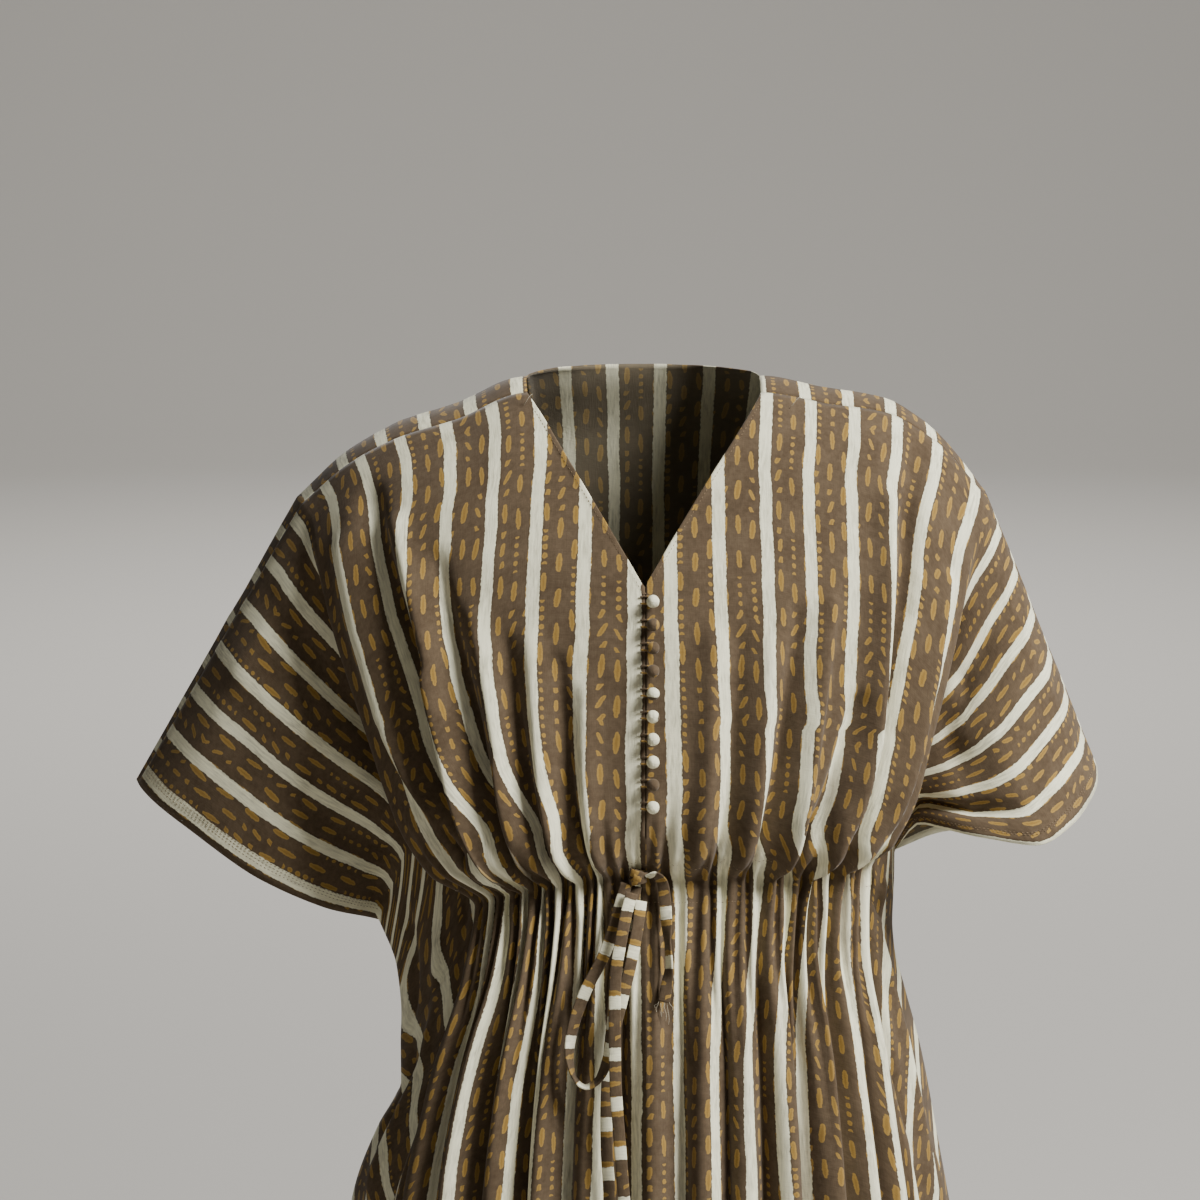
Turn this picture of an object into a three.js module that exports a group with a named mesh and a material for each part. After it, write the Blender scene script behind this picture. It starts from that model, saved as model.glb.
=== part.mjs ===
// A loose cotton kaftan with batwing sleeves, a V neck with a short buttoned slit, and a drawstring waist.
// Millimetres, +Z up, front towards -Y. The origin is at the base of the neck, midway between the two
// neck points. Cloth is a thin closed wall, worked out from the garment's own sizes.
import * as THREE from 'three';

// ---- driving sizes ----
const wall = 1.5;               // thickness of a cloth wall
const seamGap = 0.3;            // between two sewn pieces
const neckHalfWidth = 90;       // neck point to centre
const backNeckDepth = 60;       // how far the back neckline lies behind the shoulder line
const backNeckRise = 4;         // and how far above it
const vDepth = 148;             // V neck, below the neck points
const waistZ = -372;            // middle of the drawstring casing
const hemZ = -1110;             // lower edge
const shoulderFlat = 295;       // centre to the shoulder point, along the cloth
const shoulderRound = 60;       // height over which the cloth rounds off the shoulder
const slitX = 1;                // the slit runs down just beside the centre
const slitEnd = 0.9;            // where the slit ends, as a share of the way to the waist
const foldEnd = 1.12;           // the cloth between the hanging edge and the valley behind it
const sleevePuff = 12;          // how far a sleeve layer bows out over the arm
const gathersPerHalf = 18;      // gathers on each half of a panel, drawn up by the drawstring
const gatherHeight = 3;         // half the depth of a gather at the casing
const gatherReach = { up: 0.1, down: 0.14 };    // how far from the casing the gathers open out
const casingDip = { left: 24, right: 0, reach: 0.3 };   // how much lower the casing's end hangs
const seamAhead = { shoulder: 0.028, hem: 0.012 };      // the shoulder seam lies in front of the top line
const waistCrowding = 0.22;     // how much closer the gathered waist lies near the casing's end
const evensOutBy = 0.7;         // how far below the waist that is evened out again
const edgePull = { height: 4, depth: 2.6 };     // how late across a panel its edge takes over
const sleeveOpensBy = 0.15;     // how far above the underarm a sleeve stands clear of the cloth over it
const sleeveBow = 1.7;          // how deep it bows in behind that cloth
const sideBow = -0.5;           // and below the underarm, where front and back part beside the side seam
const puffStart = 0.1;          // how far down a sleeve bows out fully
const puffBelow = 1.5;          // and how much more the skirt's sides do

// ---- how finely the walls are divided ----
const bodyColumns = 26;
const foldColumns = 3;
const sleeveColumns = 8;
const upperRows = [0, 0.06, 0.14, 0.24, 0.35, 0.46, 0.57, 0.68, 0.78, 0.86, 0.92, 0.965, 1];
const skirtRows = [1.035, 1.08, 1.15, 1.25, 1.38, 1.53, 1.68, 1.84, 2];
const casingRows = { from: 0.95, to: 1.06 };    // rows that have a column for each side of each gather
const mitreLimit = 1.6;         // how much further a wall's corner may move out to keep its thickness

// ---- the cut's line over the shoulders, for s from 0 at the centre to 1 at the shoulder point ----
const shoulderLine = {
  left: [
    { t: 0, x: 0, z: 0 }, { t: 0.305, x: 90, z: 0 }, { t: 0.5, x: 145, z: -21 },
    { t: 0.66, x: 190, z: -36 }, { t: 0.82, x: 229, z: -58 }, { t: 1, x: 268, z: -94 },
  ],
  right: [
    { t: 0, x: 0, z: 0 }, { t: 0.305, x: 90, z: 0 }, { t: 0.5, x: 142, z: -9 },
    { t: 0.66, x: 184, z: -16 }, { t: 0.82, x: 224, z: -40 }, { t: 1, x: 266, z: -89 },
  ],
};

// depth of the filled-out body in front and behind, by height
const bodyDepth = {
  front: [
    { t: -20, y: 34 }, { t: 0, y: 45 }, { t: 30, y: 60 }, { t: 60, y: 73 }, { t: 100, y: 90 },
    { t: 148, y: 110 }, { t: 200, y: 123 }, { t: 260, y: 131 }, { t: 320, y: 137 }, { t: 350, y: 132 },
    { t: 372, y: 117 }, { t: 396, y: 124 }, { t: 450, y: 140 }, { t: 520, y: 152 }, { t: 620, y: 165 },
    { t: 800, y: 184 }, { t: 1110, y: 214 },
  ],
  back: [
    { t: -20, y: 50 }, { t: 0, y: 62 }, { t: 30, y: 76 }, { t: 60, y: 86 }, { t: 100, y: 95 },
    { t: 150, y: 101 }, { t: 220, y: 99 }, { t: 300, y: 92 }, { t: 345, y: 90 }, { t: 372, y: 78 },
    { t: 396, y: 86 }, { t: 450, y: 104 }, { t: 520, y: 120 }, { t: 620, y: 136 }, { t: 800, y: 156 },
    { t: 1110, y: 190 },
  ],
};

// The hanging edge of the body cloth over each sleeve, from the shoulder point down (t = 1 at the waist,
// 2 at the hem). tuck is how far the cloth turns back in behind that edge, and under how deep it lies.
const hangingEdge = {
  front: {
    left: [
      { t: 0, x: -268, y: 0, z: -94, tuck: 0, under: 0 },
      { t: 0.03, x: -263, y: -16, z: -98, tuck: 0, under: 1 },
      { t: 0.08, x: -255, y: -30, z: -108, tuck: 2, under: 3 },
      { t: 0.2, x: -249, y: -50, z: -137, tuck: 14, under: 12 },
      { t: 0.35, x: -239, y: -62, z: -181, tuck: 34, under: 22 },
      { t: 0.5, x: -224, y: -72, z: -226, tuck: 52, under: 36 },
      { t: 0.65, x: -208, y: -82, z: -268, tuck: 60, under: 42 },
      { t: 0.8, x: -190, y: -92, z: -312, tuck: 58, under: 43 },
      { t: 0.92, x: -162, y: -98, z: -349, tuck: 36, under: 34 },
      { t: 1, x: -127, y: -91, z: -374, tuck: 8, under: 20 },
      { t: 1.07, x: -135, y: -103, z: -424, tuck: 12, under: 22 },
      { t: 1.2, x: -161, y: -121, z: -520, tuck: 18, under: 28 },
      { t: 1.33, x: -180, y: -134, z: -617, tuck: 18, under: 28 },
      { t: 2, x: -238, y: -172, z: -1110, tuck: 12, under: 24 },
    ],
    right: [
      { t: 0, x: 266, y: 0, z: -89, tuck: 0, under: 0 },
      { t: 0.03, x: 266, y: -16, z: -94, tuck: 0, under: 1 },
      { t: 0.08, x: 263, y: -30, z: -106, tuck: 2, under: 3 },
      { t: 0.2, x: 251, y: -48, z: -136, tuck: 8, under: 13 },
      { t: 0.35, x: 243, y: -60, z: -178, tuck: 16, under: 25 },
      { t: 0.5, x: 232, y: -72, z: -225, tuck: 22, under: 35 },
      { t: 0.65, x: 220, y: -82, z: -270, tuck: 24, under: 42 },
      { t: 0.8, x: 207, y: -92, z: -318, tuck: 24, under: 44 },
      { t: 0.92, x: 190, y: -92, z: -348, tuck: 18, under: 34 },
      { t: 1, x: 172, y: -74, z: -373, tuck: 8, under: 18 },
      { t: 1.07, x: 170, y: -82, z: -424, tuck: 8, under: 16 },
      { t: 1.2, x: 184, y: -96, z: -520, tuck: 10, under: 18 },
      { t: 1.33, x: 198, y: -108, z: -617, tuck: 10, under: 18 },
      { t: 2, x: 262, y: -150, z: -1110, tuck: 8, under: 16 },
    ],
  },
  back: {
    left: [
      { t: 0, x: -268, y: 0, z: -94, tuck: 0, under: 0 },
      { t: 0.03, x: -265, y: 14, z: -98, tuck: 0, under: 1 },
      { t: 0.08, x: -259, y: 28, z: -108, tuck: 2, under: 3 },
      { t: 0.2, x: -252, y: 44, z: -138, tuck: 8, under: 10 },
      { t: 0.35, x: -241, y: 58, z: -182, tuck: 20, under: 18 },
      { t: 0.5, x: -227, y: 68, z: -228, tuck: 32, under: 25 },
      { t: 0.65, x: -212, y: 76, z: -272, tuck: 38, under: 30 },
      { t: 0.8, x: -196, y: 81, z: -316, tuck: 36, under: 32 },
      { t: 0.92, x: -176, y: 80, z: -349, tuck: 22, under: 26 },
      { t: 1, x: -148, y: 66, z: -373, tuck: 6, under: 16 },
      { t: 1.07, x: -146, y: 76, z: -424, tuck: 6, under: 16 },
      { t: 1.33, x: -172, y: 104, z: -617, tuck: 8, under: 16 },
      { t: 2, x: -234, y: 142, z: -1110, tuck: 8, under: 14 },
    ],
    right: [
      { t: 0, x: 266, y: 0, z: -89, tuck: 0, under: 0 },
      { t: 0.03, x: 266, y: 14, z: -94, tuck: 0, under: 1 },
      { t: 0.08, x: 262, y: 28, z: -106, tuck: 2, under: 3 },
      { t: 0.2, x: 252, y: 44, z: -137, tuck: 8, under: 10 },
      { t: 0.35, x: 244, y: 58, z: -180, tuck: 20, under: 18 },
      { t: 0.5, x: 234, y: 68, z: -226, tuck: 32, under: 25 },
      { t: 0.65, x: 221, y: 76, z: -272, tuck: 36, under: 30 },
      { t: 0.8, x: 206, y: 80, z: -316, tuck: 34, under: 32 },
      { t: 0.92, x: 188, y: 78, z: -348, tuck: 20, under: 26 },
      { t: 1, x: 160, y: 64, z: -373, tuck: 6, under: 16 },
      { t: 1.07, x: 158, y: 74, z: -424, tuck: 6, under: 16 },
      { t: 1.33, x: 184, y: 100, z: -617, tuck: 8, under: 16 },
      { t: 2, x: 254, y: 140, z: -1110, tuck: 8, under: 14 },
    ],
  },
};

// The outer edge of each panel: the sleeve hem down to the underarm corner, then the side seam.
const underarm = 0.6;
const sleeveHem = {
  front: {
    left: [
      { t: 0, x: -397, y: 0, z: -318 }, { t: 0.03, x: -392, y: -12, z: -322 },
      { t: 0.08, x: -380, y: -24, z: -331 }, { t: 0.15, x: -356, y: -36, z: -347 },
      { t: 0.3, x: -296, y: -52, z: -386 }, { t: 0.45, x: -250, y: -46, z: -408 },
      { t: 0.6, x: -207, y: -14, z: -423 },
    ],
    right: [
      { t: 0, x: 356, y: -8, z: -306 }, { t: 0.03, x: 355, y: -20, z: -310 },
      { t: 0.06, x: 353, y: -32, z: -315 }, { t: 0.12, x: 346, y: -50, z: -323 },
      { t: 0.25, x: 326, y: -84, z: -337 }, { t: 0.36, x: 298, y: -104, z: -347 },
      { t: 0.48, x: 256, y: -94, z: -343 }, { t: 0.55, x: 216, y: -60, z: -340 },
      { t: 0.6, x: 196, y: -36, z: -366 },
    ],
  },
  back: {
    left: [
      { t: 0, x: -397, y: 0, z: -318 }, { t: 0.03, x: -393, y: 12, z: -322 },
      { t: 0.08, x: -383, y: 24, z: -331 }, { t: 0.15, x: -362, y: 38, z: -346 },
      { t: 0.3, x: -304, y: 58, z: -384 }, { t: 0.45, x: -254, y: 52, z: -408 },
      { t: 0.6, x: -207, y: -14, z: -423 },
    ],
    right: [
      { t: 0, x: 356, y: -8, z: -306 }, { t: 0.03, x: 355, y: 3, z: -310 },
      { t: 0.08, x: 350, y: 20, z: -318 }, { t: 0.15, x: 340, y: 38, z: -330 },
      { t: 0.3, x: 300, y: 54, z: -352 }, { t: 0.45, x: 246, y: 40, z: -368 },
      { t: 0.6, x: 196, y: -36, z: -366 },
    ],
  },
};
const sideSeam = {
  left: [
    { t: 0.6, x: -207, y: -14, z: -423 }, { t: 0.75, x: -193, y: -12, z: -455 },
    { t: 0.9, x: -190, y: -9, z: -483 }, { t: 1, x: -191, y: -6, z: -508 },
    { t: 1.1, x: -191, y: -4, z: -540 }, { t: 1.2, x: -210, y: -2, z: -584 },
    { t: 1.33, x: -230, y: 0, z: -646 }, { t: 1.5, x: -246, y: 0, z: -748 },
    { t: 2, x: -302, y: 0, z: -1110 },
  ],
  right: [
    { t: 0.6, x: 196, y: -36, z: -366 }, { t: 0.75, x: 197, y: -22, z: -397 },
    { t: 0.9, x: 197, y: -12, z: -426 }, { t: 1, x: 199, y: -8, z: -450 },
    { t: 1.1, x: 209, y: -5, z: -488 }, { t: 1.2, x: 222, y: -3, z: -536 },
    { t: 1.33, x: 239, y: 0, z: -622 }, { t: 1.5, x: 262, y: 0, z: -741 },
    { t: 2, x: 338, y: 0, z: -1110 },
  ],
};

// Folds, each from one place on a panel to another: s runs outwards, t down, high is the height of the
// ridge at each end (a trough is negative), wide its half width, and lean how far it leans outwards, as a
// share of its height. A fold that starts where the row above it ends carries on from it.
const folds = {
  front: {
    left: [
      { s: 0.79, t: 0.12, high: -6, toS: 0.75, toT: 0.4, toHigh: -16, wide: 13, lean: 0.3 },
      { s: 0.75, t: 0.4, high: -16, toS: 0.79, toT: 0.9, toHigh: -18, wide: 13, lean: 0.5 },
      { s: 0.71, t: 0.2, high: 5, toS: 0.66, toT: 0.5, toHigh: 12, wide: 10, lean: 0.3 },
      { s: 0.66, t: 0.5, high: 12, toS: 0.64, toT: 1, toHigh: 12, wide: 9, lean: 0.8 },
      { s: 0.9, t: 0.2, high: 4, toS: 0.88, toT: 0.6, toHigh: 9, wide: 12, lean: 0.6 },
      { s: 0.88, t: 0.6, high: 9, toS: 0.74, toT: 1, toHigh: 12, wide: 9, lean: 0.8 },
      { s: 0.6, t: 0.3, high: -5, toS: 0.57, toT: 0.6, toHigh: -12, wide: 9, lean: 0.3 },
      { s: 0.57, t: 0.6, high: -12, toS: 0.57, toT: 1, toHigh: -14, wide: 8, lean: 0.5 },
      { s: 0.5, t: 0.42, high: 4, toS: 0.47, toT: 0.7, toHigh: 9, wide: 9, lean: 0.6 },
      { s: 0.47, t: 0.7, high: 9, toS: 0.49, toT: 1, toHigh: 12, wide: 8, lean: 0.8 },
      { s: 0.42, t: 0.5, high: -4, toS: 0.4, toT: 1, toHigh: -12, wide: 8, lean: 0.4 },
      { s: 0.33, t: 0.5, high: 3, toS: 0.33, toT: 1, toHigh: 11, wide: 9, lean: 0.8 },
      { s: 0.26, t: 0.55, high: -3, toS: 0.26, toT: 1, toHigh: -12, wide: 8, lean: 0.4 },
      { s: 0.17, t: 0.6, high: 3, toS: 0.19, toT: 1, toHigh: 9, wide: 9, lean: 0.7 },
      { s: 0.06, t: 0.8, high: -1, toS: 0.05, toT: 1, toHigh: -9, wide: 9, lean: 0.2 },
      { s: 1.28, t: 0.02, high: -3, toS: 1.33, toT: 0.5, toHigh: -9, wide: 14, lean: 0.3 },
      { s: 1.5, t: 0.05, high: 3, toS: 1.5, toT: 0.5, toHigh: 6, wide: 18, lean: 0 },
      { s: 1.72, t: 0.2, high: -2, toS: 1.7, toT: 0.55, toHigh: -5, wide: 16, lean: 0 },
      { s: 1.2, t: 0.5, high: -3, toS: 1.95, toT: 0.58, toHigh: -8, wide: 14, lean: 0 },
      { s: 1.25, t: 0.95, high: -5, toS: 1.6, toT: 1.35, toHigh: -7, wide: 14, lean: 0 },
      { s: 1.55, t: 0.9, high: 5, toS: 1.75, toT: 1.3, toHigh: 8, wide: 14, lean: 0.3 },
      { s: 1.8, t: 0.72, high: -4, toS: 1.9, toT: 1.2, toHigh: -7, wide: 12, lean: 0 },
      { s: 1.35, t: 1.3, high: 6, toS: 1.45, toT: 2, toHigh: 13, wide: 19, lean: 0.4 },
      { s: 1.6, t: 1.35, high: -6, toS: 1.66, toT: 2, toHigh: -14, wide: 17, lean: 0.3 },
      { s: 1.84, t: 1.4, high: 5, toS: 1.86, toT: 2, toHigh: 11, wide: 15, lean: 0.3 },
    ],
    right: [
      { s: 0.76, t: 0.05, high: -5, toS: 0.8, toT: 0.4, toHigh: -12, wide: 9, lean: 0.2 },
      { s: 0.8, t: 0.4, high: -12, toS: 0.8, toT: 0.66, toHigh: -14, wide: 8, lean: 0.4 },
      { s: 0.7, t: 0.2, high: 5, toS: 0.73, toT: 0.66, toHigh: 12, wide: 9, lean: 0.7 },
      { s: 0.73, t: 0.66, high: 12, toS: 0.66, toT: 1, toHigh: 14, wide: 8, lean: 0.9 },
      { s: 0.93, t: 0.3, high: 4, toS: 0.9, toT: 0.7, toHigh: 11, wide: 9, lean: 0.8 },
      { s: 0.9, t: 0.7, high: 10, toS: 0.84, toT: 1, toHigh: 12, wide: 8, lean: 0.9 },
      { s: 0.8, t: 0.7, high: -10, toS: 0.75, toT: 1, toHigh: -14, wide: 8, lean: 0.4 },
      { s: 0.68, t: 0.62, high: -6, toS: 0.58, toT: 1, toHigh: -12, wide: 8, lean: 0.4 },
      { s: 0.54, t: 0.42, high: 4, toS: 0.5, toT: 1, toHigh: 12, wide: 9, lean: 0.8 },
      { s: 0.45, t: 0.45, high: -4, toS: 0.42, toT: 1, toHigh: -12, wide: 8, lean: 0.4 },
      { s: 0.36, t: 0.5, high: 3, toS: 0.35, toT: 1, toHigh: 9, wide: 9, lean: 0.6 },
      { s: 0.27, t: 0.5, high: -3, toS: 0.28, toT: 1, toHigh: -9, wide: 8, lean: 0.3 },
      { s: 0.19, t: 0.5, high: 3, toS: 0.19, toT: 1, toHigh: 8, wide: 9, lean: 0.4 },
      { s: 0.08, t: 0.82, high: -1, toS: 0.08, toT: 1, toHigh: -7, wide: 9, lean: 0.2 },
      { s: 1.28, t: 0.04, high: -3, toS: 1.3, toT: 0.36, toHigh: -9, wide: 13, lean: 0.3 },
      { s: 1.55, t: 0.1, high: 2, toS: 1.5, toT: 0.4, toHigh: 5, wide: 18, lean: 0 },
      { s: 1.86, t: 0.26, high: -3, toS: 1.84, toT: 0.55, toHigh: -12, wide: 11, lean: 0 },
      { s: 1.3, t: 0.9, high: -5, toS: 1.5, toT: 1.3, toHigh: -9, wide: 13, lean: 0.3 },
      { s: 1.6, t: 0.9, high: 4, toS: 1.7, toT: 1.35, toHigh: 8, wide: 14, lean: 0.3 },
      { s: 1.35, t: 1.3, high: 6, toS: 1.4, toT: 2, toHigh: 13, wide: 19, lean: 0.4 },
      { s: 1.6, t: 1.35, high: -6, toS: 1.62, toT: 2, toHigh: -13, wide: 17, lean: 0.3 },
      { s: 1.83, t: 1.35, high: 5, toS: 1.86, toT: 2, toHigh: 11, wide: 16, lean: 0.3 },
    ],
  },
  back: {
    left: [
      { s: 0.86, t: 0.2, high: -5, toS: 0.78, toT: 0.92, toHigh: -15, wide: 11, lean: 0.4 },
      { s: 0.72, t: 0.3, high: 4, toS: 0.68, toT: 1, toHigh: 12, wide: 10, lean: 0.7 },
      { s: 0.58, t: 0.4, high: -4, toS: 0.58, toT: 1, toHigh: -12, wide: 9, lean: 0.4 },
      { s: 0.46, t: 0.45, high: 3, toS: 0.47, toT: 1, toHigh: 11, wide: 10, lean: 0.7 },
      { s: 0.35, t: 0.5, high: -3, toS: 0.36, toT: 1, toHigh: -11, wide: 9, lean: 0.4 },
      { s: 0.24, t: 0.55, high: 3, toS: 0.25, toT: 1, toHigh: 9, wide: 10, lean: 0.5 },
      { s: 0.12, t: 0.6, high: -3, toS: 0.13, toT: 1, toHigh: -9, wide: 10, lean: 0.2 },
      { s: 1.4, t: 0.05, high: -3, toS: 1.38, toT: 0.5, toHigh: -8, wide: 16, lean: 0 },
      { s: 1.25, t: 0.95, high: -6, toS: 1.5, toT: 1.35, toHigh: -9, wide: 13, lean: 0.3 },
      { s: 1.35, t: 1.3, high: 6, toS: 1.4, toT: 2, toHigh: 12, wide: 19, lean: 0.3 },
      { s: 1.62, t: 1.35, high: -6, toS: 1.66, toT: 2, toHigh: -13, wide: 17, lean: 0.3 },
    ],
    right: [
      { s: 0.88, t: 0.22, high: -5, toS: 0.8, toT: 0.92, toHigh: -15, wide: 11, lean: 0.4 },
      { s: 0.74, t: 0.3, high: 4, toS: 0.7, toT: 1, toHigh: 12, wide: 10, lean: 0.7 },
      { s: 0.6, t: 0.4, high: -4, toS: 0.6, toT: 1, toHigh: -12, wide: 9, lean: 0.4 },
      { s: 0.48, t: 0.45, high: 3, toS: 0.49, toT: 1, toHigh: 11, wide: 10, lean: 0.7 },
      { s: 0.37, t: 0.5, high: -3, toS: 0.37, toT: 1, toHigh: -11, wide: 9, lean: 0.4 },
      { s: 0.26, t: 0.55, high: 3, toS: 0.26, toT: 1, toHigh: 9, wide: 10, lean: 0.5 },
      { s: 0.14, t: 0.6, high: -3, toS: 0.14, toT: 1, toHigh: -9, wide: 10, lean: 0.2 },
      { s: 1.4, t: 0.05, high: -3, toS: 1.4, toT: 0.5, toHigh: -8, wide: 16, lean: 0 },
      { s: 1.28, t: 0.9, high: -5, toS: 1.5, toT: 1.35, toHigh: -9, wide: 13, lean: 0.3 },
      { s: 1.38, t: 1.3, high: 6, toS: 1.42, toT: 2, toHigh: 12, wide: 19, lean: 0.3 },
      { s: 1.66, t: 1.35, high: -6, toS: 1.68, toT: 2, toHigh: -13, wide: 17, lean: 0.3 },
    ],
  },
};
const foldSpanAcross = 280;     // millimetres that one unit of s and of t stand for in a fold's width
const foldSpanDown = 400;
const leanShare = 0.4;          // the walls are stiffer than cloth, so folds lean less than they are listed to
const foldNip = { share: 0.8, reach: 0.05 };    // how far the drawstring presses the folds flat

// The skirt's flutes: the place of each ridge across a panel, from the wearer's right edge (-1) to the
// left (1), its height and its lean. They grow on their way down from the waist.
const flutes = {
  front: [
    { s: -1, high: 8, lean: 0 }, { s: -0.79, high: 14, lean: -0.5 }, { s: -0.6, high: 12, lean: -0.4 },
    { s: -0.41, high: 13, lean: -0.55 }, { s: -0.23, high: 10, lean: -0.3 },
    { s: 0.02, high: 12, lean: -0.3 }, { s: 0.22, high: 11, lean: -0.45 },
    { s: 0.37, high: 8, lean: -0.2 }, { s: 0.53, high: 13, lean: 0.4 },
    { s: 0.71, high: 12, lean: 0.5 }, { s: 0.87, high: 10, lean: 0.4 }, { s: 1, high: 7, lean: 0 },
  ],
  back: [
    { s: -1, high: 8, lean: 0 }, { s: -0.81, high: 13, lean: -0.4 }, { s: -0.63, high: 11, lean: -0.5 },
    { s: -0.42, high: 13, lean: -0.4 }, { s: -0.22, high: 11, lean: -0.3 },
    { s: 0, high: 12, lean: 0.2 }, { s: 0.2, high: 10, lean: 0.4 }, { s: 0.39, high: 13, lean: 0.4 },
    { s: 0.58, high: 11, lean: 0.5 }, { s: 0.8, high: 13, lean: 0.4 }, { s: 1, high: 8, lean: 0 },
  ],
};
const fluteGrowth = [
  { t: 1, share: 0 }, { t: 1.06, share: 0.12 }, { t: 1.16, share: 0.6 }, { t: 1.3, share: 0.85 },
  { t: 1.6, share: 1 }, { t: 2, share: 1.25 },
];
const fluteCrowd = 0.2;         // how much wider the ridges are than the troughs
const fluteSway = { reach: 0.044, down: 4.1, across: 3 };   // a flute's slow wander on its way down

// Where folds and gathers die out, in s and t.
const fade = { centre: 0.04, lean: 0.06, flute: 0.08, edge: 0.12, shoulder: 0.12, bodyEnd: 0.1 };
const turnedCloth = { from: 0.97, middle: 1.085, to: 1.2 };     // the cloth turned back at the hanging edge
const sideFoldsFrom = 1.3;      // below this, folds run right out to the side seam

// ---- buttons, loops and tie ----
const buttonCount = 10;
const buttonRadius = 4.9;
const buttonX = 6.5;
const firstButtonZ = -157;
const lastButtonZ = -309;
const shankRadius = 1.2;
const shankLength = 2.6;
const shankSink = 0.7;          // how far the shank reaches into the ball
const ballRings = 6;
const ballSides = 8;
const loopThickness = 1.4;
const loopHalfHeight = 2.6;
const loopSewn = 4;             // length of a loop's ends on the cloth beside the slit
const loopClearance = 0.5;      // between loop and shank
const tieWidth = 9;
const tieThickness = 1.8;
const knot = { x: -5, z: -366, width: 15, depth: 10, height: 13, lift: 2.6 };

// Routes of the tie's hanging pieces: across, up, and how far the middle of the tie stands off the cloth.
const tieRoutes = {
  tie_bow_loop: [
    [-13, -371, 10.2], [-18, -387, 11.5], [-23, -404, 13], [-31, -424, 14], [-43, -446, 14],
    [-52, -470, 14], [-56, -492, 14], [-53, -510, 14], [-45, -518, 15], [-35, -513, 17], [-28, -499, 18],
    [-23, -478, 18], [-17, -455, 17], [-10, -428, 15.5], [-5, -404, 13], [-2, -384, 10.2],
  ],
  tie_short_end: [
    [2.9, -366, 7.6], [9, -364, 8.3], [14, -371, 8.8], [16, -383, 8.8], [17, -398, 9], [18, -414, 9],
    [19, -432, 9], [17, -446, 9], [15, -457, 9],
  ],
  tie_long_end: [
    [-9, -377, 16.2], [-13, -390, 20], [-17, -408, 23.5], [-21, -430, 25.5], [-22, -455, 26],
    [-22, -485, 26], [-21, -520, 25], [-18, -560, 23], [-15, -600, 22], [-13, -640, 21], [-14, -672, 20],
  ],
  tie_back_end: [
    [-6, -373.7, 7.9], [-10, -396, 8.7], [-15, -420, 9.5], [-20, -450, 9], [-25, -485, 10],
    [-28, -525, 12], [-28, -565, 13], [-26, -600, 13], [-27, -636, 13],
  ],
};

// ---- small helpers ----
const clamp = (value, low, high) => Math.min(Math.max(value, low), high);
const mix = (a, b, share) => a + (b - a) * share;
const ease = (share) => { const q = clamp(share, 0, 1); return q * q * (3 - 2 * q); };

// The value of one column of a table at t: smooth, through every row, with no overshoot between rows.
function along(table, column, t) {
  const last = table.length - 1;
  if (t <= table[0].t) return table[0][column];
  if (t >= table[last].t) return table[last][column];
  let k = 0;
  while (table[k + 1].t < t) k += 1;
  const rise = (i) => (table[i + 1][column] - table[i][column]) / (table[i + 1].t - table[i].t);
  const slopeAt = (i) => {
    if (i === 0) return rise(0);
    if (i === last) return rise(last - 1);
    const before = rise(i - 1);
    const after = rise(i);
    return before * after > 0 ? (2 * before * after) / (before + after) : 0;
  };
  const width = table[k + 1].t - table[k].t;
  const q = (t - table[k].t) / width;
  const start = table[k][column];
  const end = table[k + 1][column];
  return start * (1 + 2 * q) * (1 - q) ** 2 + end * q * q * (3 - 2 * q)
    + slopeAt(k) * width * q * (1 - q) ** 2 - slopeAt(k + 1) * width * q * q * (1 - q);
}

// ---- where the cloth lies ----
const isBack = (panel) => panel === 'back';
const facing = (panel) => (isBack(panel) ? 1 : -1);
const sideSign = (side) => (side === 'left' ? -1 : 1);

function outerEdge(panel, side, t) {
  const table = t < underarm ? sleeveHem[panel][side] : sideSeam[side];
  return { x: along(table, 'x', t), y: along(table, 'y', t), z: along(table, 'z', t) };
}

function edgeAt(panel, side, t) {
  const table = hangingEdge[panel][side];
  const read = (column) => along(table, column, t);
  return { x: read('x'), y: read('y'), z: read('z'), tuck: read('tuck'), under: read('under') };
}

// Where a column of the panel starts: 0 is the shoulder's top line. The front starts at the forward
// shoulder seam, or at the edge of the V.
const neckShare = neckHalfWidth / shoulderFlat;
function frontTop(s) {
  const seam = mix(seamAhead.shoulder, seamAhead.hem, clamp(s - 1, 0, 1));
  if (s >= neckShare) return seam;
  return mix(vDepth / -waistZ, seam, s / neckShare);
}

// How the gathered waist shares its width out, from the centre to the casing's end.
const waistSpread = (s) => s * (1 + waistCrowding * (1 - s));

function bodyPoint(panel, side, s, t) {
  const edge = edgeAt(panel, side, t);
  const top = shoulderLine[side];
  const topX = along(top, 'x', s) / along(top, 'x', 1);
  const spread = mix(waistSpread(s), s, clamp((t - 1) / evensOutBy, 0, 1));
  const x = edge.x * mix(topX, spread, ease(t));
  const topZ = along(top, 'z', s);
  const heightAt = (start) => (t < 1 ? mix(start, waistZ, t) : mix(waistZ, hemZ, t - 1));
  const z = heightAt(topZ) + s ** edgePull.height * (edge.z - heightAt(along(top, 'z', 1)));
  const depth = along(bodyDepth[panel], 'y', -z);
  const drop = clamp((topZ - z) / shoulderRound, 0, 1);
  const round = Math.sqrt(1 - (1 - drop) ** 2);
  const neck = isBack(panel) ? Math.sqrt(Math.max(0, 1 - (s / neckShare) ** 2)) : 0;
  const start = neck * backNeckDepth;
  const y = facing(panel) * (start + (depth - start) * round);
  const rise = neck * backNeckRise * (1 - round);
  return { x, y: mix(y, edge.y, s ** edgePull.depth), z: z + rise };
}

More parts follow.
